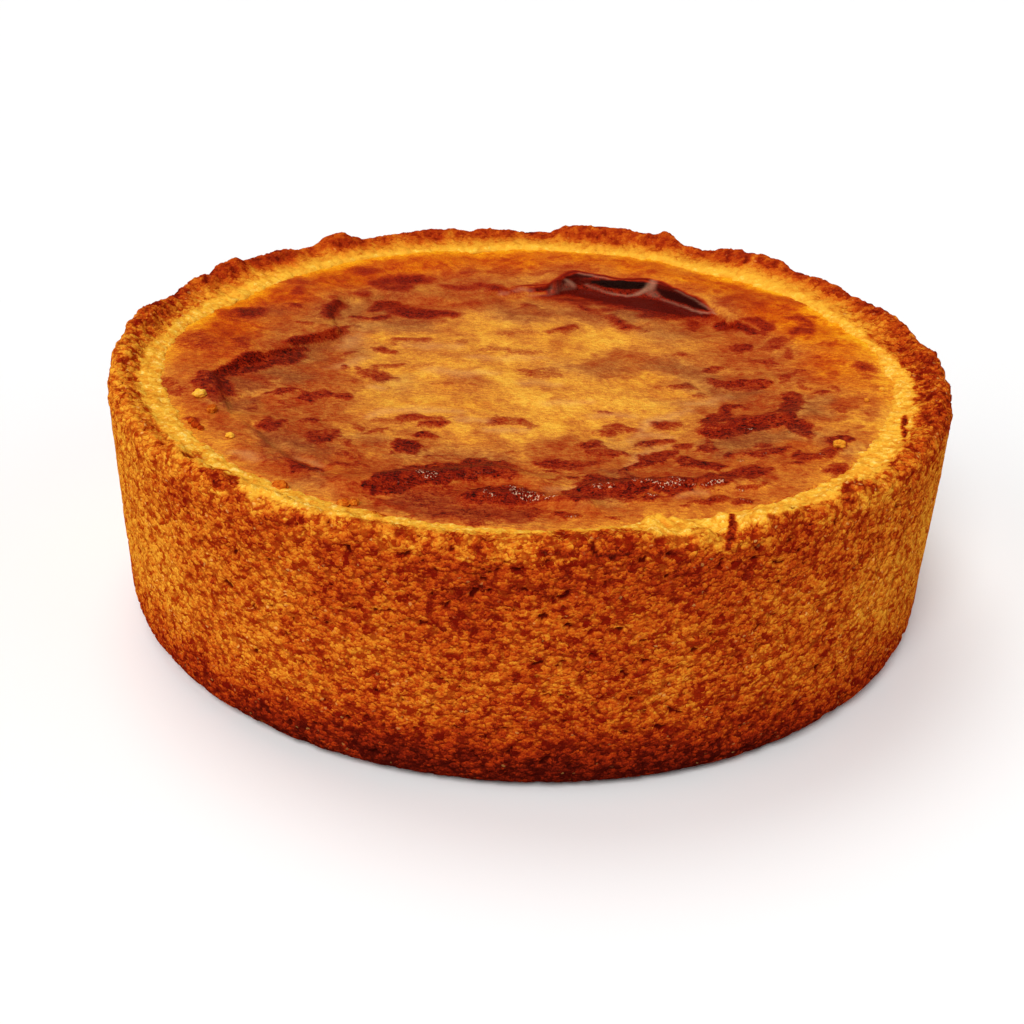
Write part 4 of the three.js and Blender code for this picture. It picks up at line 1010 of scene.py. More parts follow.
def wall_tone(flat, turn, height):
    """How brown the wall is: most on the hot side and at the foot, least at the sides."""
    hot_side = 0.5 + 0.5 * np.cos(turn - HOT_SIDE)
    tone = 0.165 + 0.42 * hot_side**2.3 + 0.24 * ease(np.sin(turn) / 0.7)
    tone += 0.40 * ease((22 - height) / 22) * mix(0.15, 1, hot_side)
    tone += 0.06 * ease((height - 38) / 12) * hot_side
    tone += 0.09 * fractal(flat, 14, 113) + 0.05 * noise(flat, 3, 127)
    return tone


def ridge_tone(flat, turn, seen_turn, seen_radius, behind, rough_ridge):
    """How brown the ridge is: golden at the foot of its inner slope and brown at its crest."""
    streaks = fractal(place(turn, np.full(turn.shape, RING_RADIUS), 0 * turn), 6, 131)
    up_slope = ease((seen_radius - by_angle(seen_turn, 1) + 1.5 * streaks) / mix(3, 12, behind))
    crest = by_angle(seen_turn, 3) + 0.12 * streaks + 0.10 * fractal(flat, 3, 139) - 0.18 * rough_ridge
    foot = mix(0.32, 0.27, behind) + 0.06 * noise(flat, 2.2, 133)
    return mix(foot, crest, mix(1, up_slope, mix(0.3, 1, behind)))


def case_tone(flat, points, turn, height, rough_ridge, rough_ledge):
    """How brown the pastry is, from 0, pale yellow, to 1, dark brown."""
    seen_x, seen_y = sighted(*points.T, LEDGE_HEIGHT)
    seen_turn, seen_radius = np.arctan2(seen_y, seen_x), np.hypot(seen_x, seen_y)
    behind = ease((seen_y + 10) / 60)
    ridge = ridge_tone(flat, turn, seen_turn, seen_radius, behind, rough_ridge)
    on_rim = on_shoulder(height)
    tone = mix(wall_tone(flat, turn, height), ridge, on_rim)
    drift = 0.9 * fractal(flat, 4, 141, 3, 0.6)
    inside = band(seen_turn, seen_radius, drift) * (height > LEDGE_HEIGHT - RIM_DEPTH)
    # The ledge is pale yellow, browner in its low places as painted shade.
    tone = mix(tone, 0.17 + 0.06 * fractal(flat, 2.6, 137) - 0.14 * rough_ledge, inside * on_rim)
    # Marks of the rim and the wall are where the camera sees them.
    seen_x, seen_y = sighted(*points.T)
    ragged = 0.9 * fractal(flat, 3, 161, 3, 0.6)
    grained = 0.08 * fractal(flat, 2.2, 163)
    for mark, soft, line in RIM_MARKS:
        fall = painted([(1, soft, line)], seen_x, seen_y, ragged)
        tone = mix(tone, mark + grained, fall)
    return np.clip(tone, 0, 1)


# The custard.
CUSTARD_SEGMENTS = 1024
CUSTARD_STEP = 0.5
STEEP_STEP = 0.22
STEEP_RINGS = (56.5, 68.5)  # radii between which the back fold lies, with finer rings
INNER_RINGS = 46.0  # radius inside which the rings have half as many points
CUSTARD_REACH = 0.9  # how far the custard's edge runs into the pastry, so that no gap shows


def sighted(x, y, z, level=MARKS_HEIGHT):
    """Where points seem to lie on a level plane, from the camera."""
    eye_y, eye_z = CAMERA_PLACE[1] / MM, CAMERA_PLACE[2] / MM
    reach = (eye_z - level) / (eye_z - z)
    return x * reach, eye_y + (y - eye_y) * reach


def beside_stroke(line, x, y):
    """Distance of each point from the edge of a stroke along points (x, y, half width), negative inside."""
    nearest = np.full(x.shape, np.inf)
    for (ax, ay, a_half), (bx, by, b_half) in zip(line, line[1:]):
        dx, dy = bx - ax, by - ay
        t = np.clip(((x - ax) * dx + (y - ay) * dy) / (dx * dx + dy * dy), 0, 1)
        away = np.hypot(x - ax - dx * t, y - ay - dy * t)
        nearest = np.minimum(nearest, away - mix(a_half, b_half, t))
    return nearest


def painted(strokes, x, y, ragged, halo=0, behind=1.0):
    """The strongest of several strokes at each point. ragged moves their outlines in and out, halo widens
    their soft edges, and behind is how much softer they are towards the back."""
    strongest = np.zeros(x.shape)
    softer = 1 + behind * ease((y + 20) / 70)
    for strength, soft, line in strokes:
        xs, ys, halves = zip(*line)
        room = max(halves) + 2 * soft + halo + 4
        near = (x > min(xs) - room) & (x < max(xs) + room) & (y > min(ys) - room) & (y < max(ys) + room)
        away = beside_stroke(line, x[near], y[near]) + ragged[near] * min(1, max(halves) / 2)
        blur = soft * softer[near] + halo
        fall = ease((1.2 * blur + 0.5 * soft - away) / (2.5 * blur))
        strongest[near] = np.maximum(strongest[near], strength * fall)
    return strongest


def custard_rings():
    """All rings of the custard, from the middle of its underside to the middle of its skin, and the number
    of points below the skin."""
    rim = INNER_RADIUS - CUSTARD_GAP
    bottom = FLOOR_HEIGHT + CUSTARD_GAP
    under = ring_steps(rim - INNER_CORNER, CUSTARD_SEGMENTS, 1.5, UNDERSIDE_STEP, 1.5)
    rings = [(0, bottom, 1)] + [(radius, bottom, n) for radius, n in reversed(under)]
    rings += [(rim - INNER_CORNER, bottom, CUSTARD_SEGMENTS)]
    rings += [(rim, bottom + INNER_CORNER, CUSTARD_SEGMENTS)]
    rings += [(rim, height, CUSTARD_SEGMENTS) for height in (HIDDEN_WALL_HEIGHT, CUSTARD_EDGE_HEIGHT - 5)]
    first = sum(n for _, _, n in rings)
    rings += [(rim + CUSTARD_REACH, CUSTARD_EDGE_HEIGHT - 1, CUSTARD_SEGMENTS)]
    radius = rim + CUSTARD_REACH - CUSTARD_STEP
    while radius > INNER_RINGS:
        rings.append((radius, CUSTARD_EDGE_HEIGHT, CUSTARD_SEGMENTS))
        steep = STEEP_RINGS[0] < radius < STEEP_RINGS[1]
        radius -= STEEP_STEP if steep else CUSTARD_STEP
    top = ring_steps(radius + CUSTARD_STEP, CUSTARD_SEGMENTS // 2, CUSTARD_STEP, CUSTARD_STEP, 1)
    rings += [(radius, CUSTARD_EDGE_HEIGHT, n) for radius, n in top] + [(0, CUSTARD_EDGE_HEIGHT, 1)]
    return rings, first


def skin_marks(level, seen_x, seen_y):
    """How strong each kind of mark is at each point of the skin, by where the camera sees it. Wavy
    coordinates and ragged outlines give the marks their shapes."""
    wavy_x = seen_x + 1.1 * fractal(level, 7, 211)
    wavy_y = seen_y + 1.1 * fractal(level, 7, 223)
    crisp_x = seen_x + 0.4 * fractal(level, 4, 211)
    crisp_y = seen_y + 0.4 * fractal(level, 4, 223)
    ragged = 1.3 * fractal(level, 5, 225, 3, 0.6) + 0.7 * noise(level, 1.5, 227)
    return {
        "patch": painted(PATCHES, wavy_x, wavy_y, 0.8 * ragged, 0.45),
        "around": painted(PATCHES, wavy_x, wavy_y, 1.4 * ragged, 1.8),
        "shade": painted(SHADES, wavy_x, wavy_y, 2 * ragged),
        "sheen_veil": painted(SHEEN_VEILS, wavy_x, wavy_y, 1.6 * ragged, 1.4),
        "bright": painted(BRIGHTS, wavy_x, wavy_y, ragged),
        "pale": painted(PALE_SHEEN_STREAKS, wavy_x, wavy_y, 0.8 * ragged, 0.7),
        "wrinkle": painted(WRINKLED, wavy_x, wavy_y, 0.3 * ragged),
        "hollow": painted(FOLD_HOLLOW_SHADE, crisp_x, crisp_y, 0.2 * ragged, 0, 0.2),
        "lip": painted(FOLD_LIP_HIGHLIGHTS, crisp_x, crisp_y, 0.1 * ragged, 0, 0.2),
    }


def skin_height(level, sunk, marks):
    """Height of the skin with its blisters, its small swells and its wrinkles."""
    surface = sunk + 0.3 * ease((marks["patch"] - 0.2) / 0.7)
    surface += 0.16 * noise(level, 5, 229) + 0.09 * noise(level, 2.4, 233)
    surface += marks["wrinkle"] * 0.24 * noise(level, (0.9, 3.2, 1), 235)
    return surface


def make_custard(material):
    rings, first = custard_rings()
    turn, radius, height = ring_points(rings)
    flat = place(turn, radius, height)
    x, y = flat[:, 0], flat[:, 1]
    level = np.stack([x, y, np.zeros(len(x))], axis=1)
    sunk = custard_height(x, y)
    marks = skin_marks(level, *sighted(x, y, sunk))
    shade = np.maximum(marks["shade"], 0.62 * marks["around"])
    in_patch = ease((marks["patch"] - 0.6) / 0.2)
    warm = ease((radius - 60) / 16) * mix(0.25, 1, ease((y + 30) / 50))
    free = ease((INNER_RADIUS - radius) / 2)
    top_side = np.arange(len(radius)) >= first + CUSTARD_SEGMENTS
    skin = mix(height, skin_height(level, sunk, marks), free)
    points = np.stack([x, y, np.where(top_side, skin, height)], axis=1)
    attributes = {
        "base": custard_base(level, turn, radius, shade, marks["bright"]),
        "patch": marks["patch"],
        "hollow_shade": marks["hollow"],
        "sheen_veil": marks["sheen_veil"] * (1 - 0.6 * in_patch) * (1 - marks["hollow"]),
        "lip": marks["lip"],
        "crisp": mix(1, 0.35, ease((y + 10) / 70)),
        "warm": np.clip(warm + 0.3 * fractal(level, 16, 253), 0, 1),
        "wrinkle": marks["wrinkle"],
        "pale": marks["pale"] * (1 - in_patch),
    }
    return make_mesh("custard_filling", points, ring_faces(rings), attributes, material)


def custard_base(level, turn, radius, shade, bright):
    """How baked the skin is between its dark patches, from 0, bright yellow, to 1, nearly black."""
    ring = ease((radius - 34) / 26)
    base = mix(0.215, 0.37, ring) + 0.15 * fractal(level, 11, 239) + 0.08 * noise(level, 3.5, 241)
    base = mix(base, 0.03 + 0.05 * noise(level, 3, 247), 0.8 * bright)
    edge = ease((radius - 80) / 7)
    base = mix(base, 0.24 + 0.06 * noise(level, 6, 243), edge * mix(0.4, 1, ease((level[:, 1] + 40) / 60)))
    base -= 0.07 * ease((level[:, 0] - 58) / 15)
    clouds = ring * ease((fractal(level, 9, 245, 4, 0.6) - 0.05) / 0.6)
    base = mix(base, 0.56, 0.7 * clouds)
    spots = ring * ease((fractal(level, 4.5, 255, 3, 0.6) - 0.25) / 0.35)
    base = mix(base, 0.6, 0.6 * spots)
    base = np.maximum(base, shade + 0.10 * fractal(level, 5, 249))
    # The skin turns yellow where it meets the ledge.
    from_ledge = INNER_RADIUS - ledge_reach(turn) + 0.8 * noise(level, 5, 251) - radius
    beside = ease((6 - from_ledge) / 7) * mix(0.5, 1, ease((level[:, 1] + 60) / 60))
    return np.clip(mix(base, 0.02, 0.75 * beside), 0, 1)


# Loose crumbs.
CRUMB_MIDDLE = 0.6  # how high a crumb's middle lies above the skin, as a part of its half height


def under_sight(seen_x, seen_y, above):
    """The place on the custard under a point that is this far above it and seems to be at seen_x, seen_y."""
    eye_y, eye_z = CAMERA_PLACE[1] / MM, CAMERA_PLACE[2] / MM
    rest = MARKS_HEIGHT
    for _ in range(6):
        reach = (eye_z - rest - above) / (eye_z - MARKS_HEIGHT)
        x, y = seen_x * reach, eye_y + (seen_y - eye_y) * reach
        rest = custard_height(np.array([x]), np.array([y]))[0]
    return x, y, rest


def make_crumbs(material):
    """All loose crumbs as one mesh: lumpy balls that rest on the custard."""
    ball = bmesh.new()
    bmesh.ops.create_icosphere(ball, subdivisions=4, radius=1)
    unit = np.array([v.co[:] for v in ball.verts])
    faces = np.array([[v.index for v in f.verts] for f in ball.faces])
    ball.free()
    points, triangles, tones = [], [], []
    for k, (x, y, long, wide, high, degrees, tone) in enumerate(LOOSE_CRUMBS):
        lumps = 1 + 0.22 * fractal(unit * 2 + 9 * k, 1.4, 301) + 0.1 * noise(unit * 5 + 9 * k, 1, 303)
        lump = unit * lumps[:, None] * (long, wide, high)
        turn = math.radians(degrees)
        x, y, rest = under_sight(x, y, CRUMB_MIDDLE * high)
        moved = np.stack([
            x + lump[:, 0] * math.cos(turn) - lump[:, 1] * math.sin(turn),
            y + lump[:, 0] * math.sin(turn) + lump[:, 1] * math.cos(turn),
            rest + CRUMB_MIDDLE * high + lump[:, 2],
        ], axis=1)
        triangles.append(faces + len(unit) * k)
        points.append(moved)
        tones.append(tone + 0.06 * noise(moved, 0.8, 307))
    points = np.concatenate(points)
    attributes = {
        "tone": np.concatenate(tones),
        "crevice": np.zeros(len(points)),
        "crisp": np.full(len(points), 0.5),
    }
    return make_mesh("loose_crumbs", points, [np.concatenate(triangles)], attributes, material)


# Materials.
COARSE_GRAIN = 1.7  # sizes of the crumb's grains, in millimetres
FINE_GRAIN = 0.85
GRAIN_FLATNESS = 1.3  # how many times wider than high a grain of crumb is
LIT_FROM = (-0.1, 0.35, 0.93)  # grains are painted paler on this side and browner on the other: painted light and shade
NOISE_TILT = (0.4, 0.25, 0.6)  # turns the noise's lattice, so that it shows nowhere
DARKEST_PATCH = 0.87

# Colours by how baked the surface is, as they look on a screen.
PASTRY_COLOURS = [
    (0.00, (252, 212, 110)),
    (0.12, (240, 178, 54)),
    (0.28, (229, 152, 42)),
    (0.42, (213, 119, 29)),
    (0.56, (191, 79, 17)),
    (0.70, (161, 46, 12)),
    (0.85, (118, 27, 10)),
    (1.00, (72, 14, 7)),
]
# Colours of the pits and the gaps between grains, by tone: painted shade.
PIT_SHADE_COLOURS = [
    (0.10, (218, 130, 26)),
    (0.35, (168, 56, 9)),
    (0.60, (124, 20, 6)),
    (0.90, (62, 10, 5)),
]
# The custard's middle is duller and its outer part more orange, and both end in the same browns.
INNER_COLOURS = [
    (0.00, (240, 176, 60)),
    (0.12, (228, 151, 48)),
    (0.24, (208, 126, 44)),
    (0.36, (188, 103, 38)),
    (0.50, (172, 77, 26)),
    (0.63, (158, 50, 14)),
]
OUTER_COLOURS = [
    (0.00, (246, 180, 30)),
    (0.12, (237, 147, 15)),
    (0.24, (221, 117, 9)),
    (0.36, (203, 93, 8)),
    (0.50, (185, 66, 7)),
    (0.63, (161, 44, 7)),
]
# The darkest browns; above DARKEST_PATCH only the painted shade of the fold's hollow reaches them.
DARKEST_COLOURS = [
    (0.76, (143, 30, 6)),
    (0.86, (113, 17, 5)),
    (0.93, (74, 11, 5)),
    (1.00, (24, 5, 5)),
]
# Greyish colours of the painted sheen, by tone.
SHEEN_COLOURS = [
    (0.2, (196, 134, 66)),
    (0.5, (148, 90, 42)),
    (0.8, (98, 42, 22)),
]
# The darkest crevices: painted shade.
CREVICE_SHADE_COLOUR = (52, 8, 3)
# Pale specks painted on a few grains as glints of light.
PASTRY_GLINT_COLOUR = (250, 190, 100)
PALE_SHEEN_COLOUR = (226, 164, 96)
LIP_HIGHLIGHT_COLOUR = (180, 128, 100)
GLINT_COLOUR = (240, 196, 160)


def srgb(red, green, blue):
    """A colour given as it looks on a screen, from 0 to 255, as Blender's linear numbers."""
    return tuple(c / 12.92 if c <= 0.04045 else ((c + 0.055) / 1.055) ** 2.4
                 for c in (red / 255, green / 255, blue / 255)) + (1.0,)


class Nodes:
    """Short ways to make and join the nodes of one material."""

    def __init__(self, name):
        self.material = bpy.data.materials.new(name)
        self.material.use_nodes = True
        self.tree = self.material.node_tree
        self.shader = self.tree.nodes["Principled BSDF"]
        self.coords = self.add("ShaderNodeTexCoord").outputs["Object"]

    def add(self, kind, inputs=(), **settings):
        node = self.tree.nodes.new(kind)
        for key, value in settings.items():
            setattr(node, key, value)
        for key, value in dict(inputs).items():
            self.feed(node.inputs[key], value)
        return node

    def feed(self, socket, value):
        if isinstance(value, bpy.types.NodeSocket):
            self.tree.links.new(value, socket)
        else:
            socket.default_value = value

    def attribute(self, name):
        return self.add("ShaderNodeAttribute", attribute_name=name).outputs["Fac"]

    def noise(self, size, detail=2, stretch=(1, 1, 1), roughness=0.5, place_at=None):
        """Noise from 0 to 1 with features about size millimetres across."""
        scale = tuple(1 / (size * MM * s) for s in stretch)
        mapping = self.add("ShaderNodeMapping", {
            "Vector": self.coords if place_at is None else place_at,
            "Scale": scale, "Rotation": NOISE_TILT,
        })
        return self.add("ShaderNodeTexNoise", {
            "Vector": mapping.outputs["Vector"], "Scale": 1.0, "Detail": detail, "Roughness": roughness,
        }).outputs["Fac"]

    def warped(self, size, reach):
        """The object's coordinates, moved about by reach millimetres of noise of the given size."""
        mapping = self.add("ShaderNodeMapping", {"Vector": self.coords, "Scale": (1 / (size * MM),) * 3})
        wave = self.add("ShaderNodeTexNoise", {
            "Vector": mapping.outputs["Vector"], "Scale": 1.0, "Detail": 1,
        })
        centred = self.add("ShaderNodeVectorMath", {
            0: wave.outputs["Color"], 1: (0.5, 0.5, 0.5),
        }, operation="SUBTRACT")
        moved = self.add("ShaderNodeVectorMath", {
            0: centred.outputs[0], 1: (4 * reach * MM,) * 3, 2: self.coords,
        }, operation="MULTIPLY_ADD").outputs[0]
        return self.add("ShaderNodeVectorMath", {
            0: moved, 1: (1, 1, GRAIN_FLATNESS),
        }, operation="MULTIPLY").outputs[0]

    def grains(self, size, place_at):
        """For round grains of about size millimetres: distance to the middle, in grain sizes, a random
        number for each grain, how far up its lit side the point lies, about -0.5 to 0.5, and the middle."""
        node = self.add("ShaderNodeTexVoronoi", {"Vector": place_at, "Scale": 1 / (size * MM)})
        parts = self.add("ShaderNodeSeparateColor", {"Color": node.outputs["Color"]})
        from_middle = self.add("ShaderNodeVectorMath", {
            0: place_at, 1: node.outputs["Position"],
        }, operation="SUBTRACT")
        lit = self.add("ShaderNodeVectorMath", {
            0: from_middle.outputs[0], 1: tuple(c / (size * MM) for c in LIT_FROM),
        }, operation="DOT_PRODUCT")
        return node.outputs["Distance"], parts.outputs["Red"], lit.outputs["Value"], node.outputs["Position"]

    def math(self, operation, a, b=0.0):
        return self.add("ShaderNodeMath", {0: a, 1: b}, operation=operation).outputs[0]

    def plus(self, a, b):
        return self.math("ADD", a, b)

    def minus(self, a, b):
        return self.math("SUBTRACT", a, b)

    def times(self, a, b):
        return self.math("MULTIPLY", a, b)

    def larger(self, a, b):
        return self.math("MAXIMUM", a, b)

    def smaller(self, a, b):
        return self.math("MINIMUM", a, b)

    def remap(self, value, low, high, to_low=0.0, to_high=1.0):
        return self.add("ShaderNodeMapRange", {
            "Value": value, "From Min": low, "From Max": high, "To Min": to_low, "To Max": to_high,
        }, interpolation_type="SMOOTHSTEP").outputs["Result"]

    def ramp(self, value, stops):
        node = self.add("ShaderNodeValToRGB", {"Fac": value})
        elements = node.color_ramp.elements
        while len(elements) < len(stops):
            elements.new(0.5)
        for element, (at, colour) in zip(elements, stops):
            element.position = at
            element.color = srgb(*colour)
        return node.outputs["Color"]

    def blend(self, amount, a, b):
        node = self.add("ShaderNodeMix", data_type="RGBA")
        self.feed(node.inputs["Factor"], amount)
        self.feed(node.inputs[6], a)
        self.feed(node.inputs[7], b)
        return node.outputs[2]

    def bump(self, height, distance, strength=1.0):
        node = self.add("ShaderNodeBump", {"Height": height, "Distance": distance * MM, "Strength": strength})
        return node.outputs["Normal"]


def pastry_crumb(n):
    """The crumb's fine and coarse grains. Each lies high or low by its cluster and by chance, and pits are
    where some are missing."""
    grain, grain_chance, grain_lit, _ = n.grains(COARSE_GRAIN, n.warped(1.1, 0.3))
    bit, bit_chance, bit_lit, bit_middle = n.grains(FINE_GRAIN, n.warped(0.7, 0.18))
    cluster = n.noise(2.4, 2, roughness=0.6, place_at=bit_middle)
    rank = n.plus(cluster, n.remap(grain_chance, 0, 1, -0.07, 0.07))
    rank = n.plus(rank, n.remap(bit_chance, 0, 1, -0.05, 0.05))
    return SimpleNamespace(
        grain=grain, bit=bit, chance=bit_chance, fine=n.noise(0.4, 2),
        lit=n.plus(n.times(grain_lit, 0.09), n.times(bit_lit, 0.10)),
        upper=n.remap(rank, 0.425, 0.455), floor=n.remap(rank, 0.345, 0.37))


def pastry_shift(n, crumb, strength):
    """How much browner or paler each grain is than the pastry round it: by chance, and as painted shade on
    the lower grains and painted light and shade across each grain from LIT_FROM.
    """
    shift = n.minus(n.remap(crumb.upper, 0, 1, 0.14, -0.04), crumb.lit)
    shift = n.plus(shift, n.remap(crumb.chance, 0, 1, -0.07, 0.07))
    shift = n.plus(shift, n.remap(crumb.fine, 0.3, 0.7, 0.06, -0.06))
    return n.times(shift, strength)


def pastry_pit_shade(n, crumb, tone, crevice, crisp, strength):
    """How much painted shade each point gets, from 0 to 1: the deeper it lies in a crevice, a pit or a
    gap between grains, the more, and a gap's side away from LIT_FROM gets more still.
    """
    between = n.minus(n.plus(crumb.grain, n.times(crumb.bit, 0.4)), crumb.lit)
    gap = n.times(n.times(n.remap(between, 0.62, 0.95), 0.62), strength)
    pitted = n.times(n.remap(tone, 0.16, 0.40), crisp)
    return n.larger(n.larger(crevice, n.times(n.minus(1.0, crumb.floor), pitted)), gap)


def pastry_relief(n, crumb):
    """Height of the grains, for the bump."""
    relief = n.plus(n.times(crumb.upper, 0.5), n.times(crumb.floor, 0.4))
    relief = n.minus(relief, n.times(n.remap(crumb.grain, 0.15, 0.8), 0.25))
    relief = n.minus(relief, n.times(n.remap(crumb.bit, 0.1, 0.8), 0.22))
    return n.plus(relief, n.times(crumb.fine, 0.15))


def pastry_material():
    n = Nodes("crumbly_pastry")
    crumb = pastry_crumb(n)
    tone = n.attribute("tone")
    crevice = n.attribute("crevice")
    crisp = n.attribute("crisp")
    strength = n.times(n.remap(tone, 0.1, 0.5, 0.7, 1.0), crisp)
    deep = pastry_pit_shade(n, crumb, tone, crevice, crisp, strength)
    colour = n.ramp(n.plus(tone, pastry_shift(n, crumb, strength)), PASTRY_COLOURS)
    # Pits, crevices and gaps between grains take darker, redder colours: painted shade.
    colour = n.blend(n.remap(deep, 0.1, 0.9), colour, n.ramp(tone, PIT_SHADE_COLOURS))
    colour = n.blend(n.remap(crevice, 0.6, 1.0, 0.0, 0.7), colour, srgb(*CREVICE_SHADE_COLOUR))
    # A few of the finest grains get pale specks painted on, standing in for glints of light.
    glint_flecks = n.times(n.remap(crumb.chance, 0.955, 0.965), n.remap(crumb.bit, 0.55, 0.35))
    glint_flecks = n.times(glint_flecks, n.times(n.remap(n.noise(5.0, 2), 0.45, 0.6), crisp))
    colour = n.blend(n.times(glint_flecks, n.remap(tone, 0.3, 0.8, 0.6, 0.2)), colour, srgb(*PASTRY_GLINT_COLOUR))
    n.feed(n.shader.inputs["Base Color"], colour)
    n.shader.inputs["Roughness"].default_value = 0.8
    n.shader.inputs["Specular IOR Level"].default_value = 0.0
    depth = n.times(n.remap(tone, 0.1, 0.34, 0.25, 0.9), n.remap(crisp, 0, 1, 0.4, 1))
    n.feed(n.shader.inputs["Normal"], n.bump(pastry_relief(n, crumb), 0.55, depth))
    return n.material


def custard_noise(n):
    """The noises that several parts of the skin's look share."""
    return SimpleNamespace(
        cloud=n.noise(4.0, 5, roughness=0.6), mottle=n.noise(1.3, 4, roughness=0.7),
        grain=n.noise(0.4, 2), pores=n.noise(0.8, 2))


def frayed_patches(n, skin, crisp):
    """How dark the browned patches are, with edges frayed by noise."""
    patch = n.attribute("patch")
    ragged = n.plus(n.remap(skin.mottle, 0.25, 0.75, -0.16, 0.16), n.remap(skin.grain, 0.3, 0.7, -0.06, 0.06))
    ragged = n.plus(ragged, n.remap(skin.cloud, 0.25, 0.75, -0.12, 0.12))
    frayed = n.times(n.plus(patch, n.times(ragged, crisp)), n.remap(patch, 0.02, 0.35))
    return n.smaller(n.times(frayed, 0.92), DARKEST_PATCH)


def custard_tone(n, skin, frayed, crisp):
    """How baked the skin is, from 0, bright yellow, to 1, nearly black."""
    between = n.plus(n.attribute("base"), n.remap(skin.cloud, 0.25, 0.75, -0.07, 0.07))
    between = n.plus(between, n.remap(skin.mottle, 0.25, 0.75, -0.07, 0.07))
    tone = n.plus(n.larger(between, frayed), n.remap(skin.grain, 0.3, 0.7, -0.045, 0.045))
    dashes = n.remap(n.noise(0.6, 2, stretch=(2.4, 1, 1)), 0.3, 0.7, -0.07, 0.07)
    tone = n.plus(tone, n.times(dashes, crisp))
    tone = n.plus(tone, n.remap(skin.pores, 0.55, 0.70, 0.0, 0.06))
    # The fold's hollow is darkened to nearly black: painted shade.
    return n.larger(tone, n.attribute("hollow_shade"))


def skin_relief(n, skin, wrinkle):
    """Fine wrinkles across the glossy blisters, and a soft grain and a few creases elsewhere."""
    wrinkles = n.times(n.noise(0.55, 2, stretch=(1, 4, 1), roughness=0.6), wrinkle)
    crease = n.remap(n.math("ABSOLUTE", n.minus(n.noise(8.0, 3), 0.5)), 0.0, 0.02, 1.0, 0.0)
    relief = n.plus(n.times(wrinkles, 1.6), n.times(skin.mottle, 0.5))
    relief = n.plus(relief, n.times(skin.grain, 0.4))
    relief = n.plus(relief, n.times(n.noise(0.9, 2, stretch=(1.8, 1, 1)), 0.45))
    relief = n.minus(relief, n.times(skin.pores, 0.25))
    return n.plus(relief, n.times(crease, 0.12))


def custard_material():
    n = Nodes("baked_custard")
    skin = custard_noise(n)
    wrinkle = n.attribute("wrinkle")
    crisp = n.attribute("crisp")
    frayed = frayed_patches(n, skin, crisp)
    tone = custard_tone(n, skin, frayed, crisp)
    inner = n.ramp(tone, INNER_COLOURS + DARKEST_COLOURS)
    outer = n.ramp(tone, OUTER_COLOURS + DARKEST_COLOURS)
    colour = n.blend(n.attribute("warm"), inner, outer)
    # A greyish sheen is painted on where the veils lie.
    colour = n.blend(n.times(n.attribute("sheen_veil"), 0.62), colour, n.ramp(tone, SHEEN_COLOURS))
    # Pale streaks of painted sheen.
    colour = n.blend(n.times(n.attribute("pale"), 0.45), colour, srgb(*PALE_SHEEN_COLOUR))
    # Painted highlights along the lips of the back fold.
    colour = n.blend(n.times(n.attribute("lip"), 0.72), colour, srgb(*LIP_HIGHLIGHT_COLOUR))
    glint = n.remap(n.noise(0.4, 2, stretch=(1, 1.8, 1)), 0.57, 0.62)
    glint = n.times(glint, n.remap(wrinkle, 0.45, 0.95))
    colour = n.blend(n.times(glint, 0.75), colour, srgb(*GLINT_COLOUR))
    n.feed(n.shader.inputs["Base Color"], colour)
    gloss = n.remap(frayed, 0.3, 0.8, 0.46, 0.34)
    n.feed(n.shader.inputs["Roughness"], n.plus(gloss, n.remap(skin.grain, 0.3, 0.7, -0.05, 0.05)))
    n.shader.inputs["Specular IOR Level"].default_value = 0.03
    n.shader.inputs["Specular Tint"].default_value = (1, 0.65, 0.35, 1)
    normal = n.bump(skin_relief(n, skin, wrinkle), 0.5)
    n.feed(n.shader.inputs["Normal"], normal)
    n.feed(n.shader.inputs["Coat Weight"], n.times(glint, 0.2))
    n.feed(n.shader.inputs["Coat Normal"], normal)
    n.shader.inputs["Coat Roughness"].default_value = 0.16
    return n.material


# The ground, the light and the camera.
GROUND_HALF = 4.0  # half of the ground's width, in metres
SKY_STRENGTH = 0.12
# Name, direction and height in degrees, strength and width in degrees.
SUNS = [
    ("overhead", 115, 66, 1.0, 30),
    ("high_front", -105, 50, 2.2, 30),
    ("side", 200, 30, 0.8, 50),
    ("other_side", -15, 30, 0.4, 50),
]


def floor_material():
    n = Nodes("pale_floor")
    n.shader.inputs["Base Color"].default_value = (0.9, 0.9, 0.9, 1)
    n.shader.inputs["Roughness"].default_value = 0.9
    n.shader.inputs["Specular IOR Level"].default_value = 0.1
    return n.material


def make_floor():
    mesh = bpy.data.meshes.new("floor")
    corners = [(x * GROUND_HALF, y * GROUND_HALF, 0) for x, y in ((-1, -1), (1, -1), (1, 1), (-1, 1))]
    mesh.from_pydata(corners, [], [(0, 1, 2, 3)])
    mesh.materials.append(floor_material())
    floor = bpy.data.objects.new("floor", mesh)
    bpy.context.scene.collection.objects.link(floor)


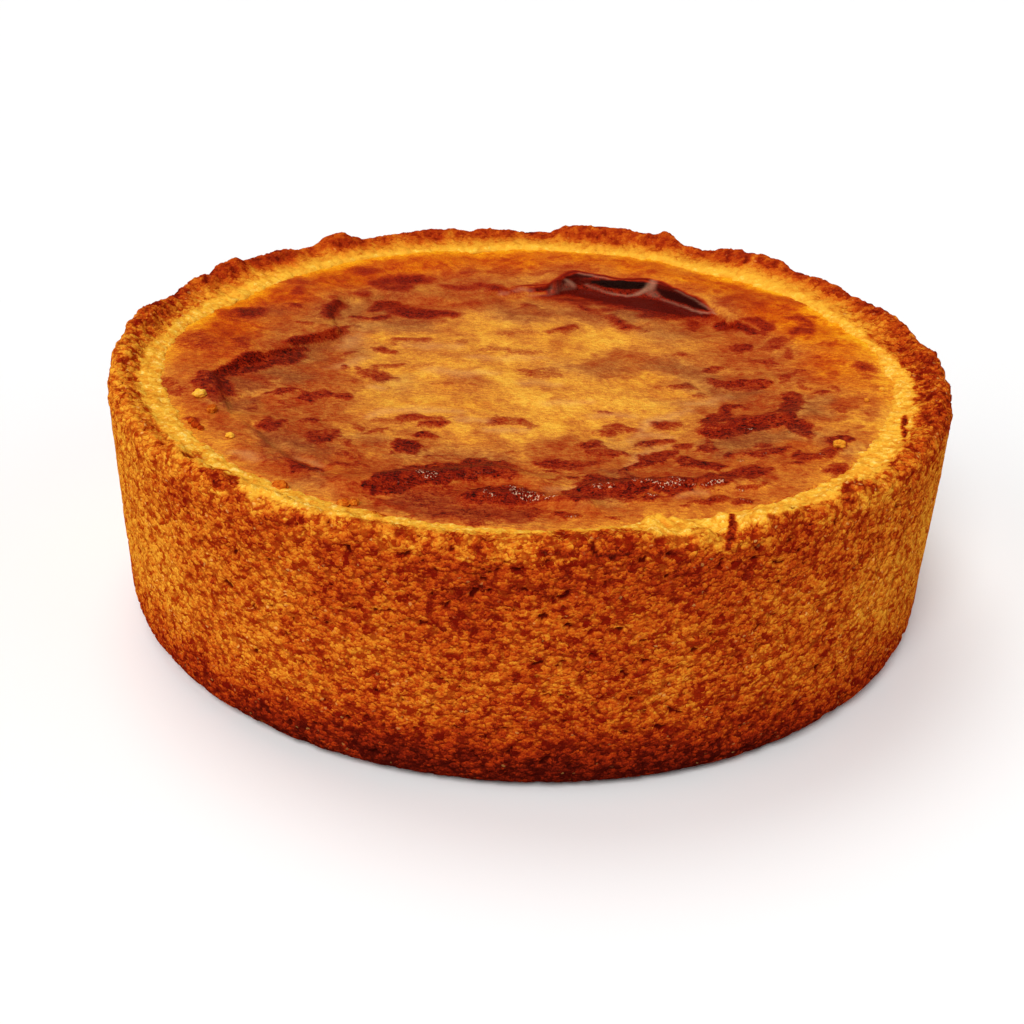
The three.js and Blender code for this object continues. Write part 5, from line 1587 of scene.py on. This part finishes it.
def add_sun(name, azimuth, elevation, strength, spread):
    """Even light from a wide round patch of the sky: its direction and width are in degrees."""
    data = bpy.data.lights.new(name, "SUN")
    data.energy = strength
    data.angle = math.radians(spread)
    light = bpy.data.objects.new(name, data)
    turn, up = math.radians(azimuth), math.radians(elevation)
    towards = (math.cos(turn) * math.cos(up), math.sin(turn) * math.cos(up), math.sin(up))
    light.matrix_world = looking(towards, (0, 0, 0))
    bpy.context.scene.collection.objects.link(light)


def looking(place_at, aim):
    """The placing of a camera or light that looks from one point at another."""
    forward = np.array(aim, dtype=float) - np.array(place_at, dtype=float)
    forward /= np.linalg.norm(forward)
    right = np.cross(forward, (0, 0, 1))
    right /= np.linalg.norm(right)
    return matrix_of(right, np.cross(right, forward), forward, place_at)


def matrix_of(right, up, forward, place_at):
    columns = [right, up, -np.array(forward), place_at]
    rows = [[float(column[k]) for column in columns] for k in range(3)]
    return Matrix(rows + [[0, 0, 0, 1]])


def make_camera():
    down, yaw, roll = (math.radians(a) for a in (CAMERA_DOWN, CAMERA_YAW, CAMERA_ROLL))
    forward = np.array([math.sin(yaw) * math.cos(down), math.cos(yaw) * math.cos(down), -math.sin(down)])
    level = np.array([math.cos(yaw), -math.sin(yaw), 0])
    upright = np.cross(level, forward)
    right = math.cos(roll) * level + math.sin(roll) * upright
    up = -math.sin(roll) * level + math.cos(roll) * upright
    data = bpy.data.cameras.new("camera")
    data.lens = CAMERA_LENS
    data.sensor_width = SENSOR
    data.clip_start = 0.01
    camera = bpy.data.objects.new("camera", data)
    camera.matrix_world = matrix_of(right, up, forward, CAMERA_PLACE)
    bpy.context.scene.collection.objects.link(camera)
    bpy.context.scene.camera = camera


def make_light():
    world = bpy.data.worlds.new("studio")
    bpy.context.scene.world = world
    world.use_nodes = True
    sky = world.node_tree.nodes["Background"].inputs
    sky["Color"].default_value = (1, 1, 1, 1)
    sky["Strength"].default_value = SKY_STRENGTH
    for sun in SUNS:
        add_sun(*sun)
    bpy.context.scene.view_settings.view_transform = "Standard"


make_camera()
make_light()
make_floor()

pastry = pastry_material()
case = make_case(pastry)
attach(case, "root")
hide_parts("pastry_case")

custard = make_custard(custard_material())
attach(custard, "root")
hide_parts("custard")

crumbs = make_crumbs(pastry)
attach(crumbs, "root")
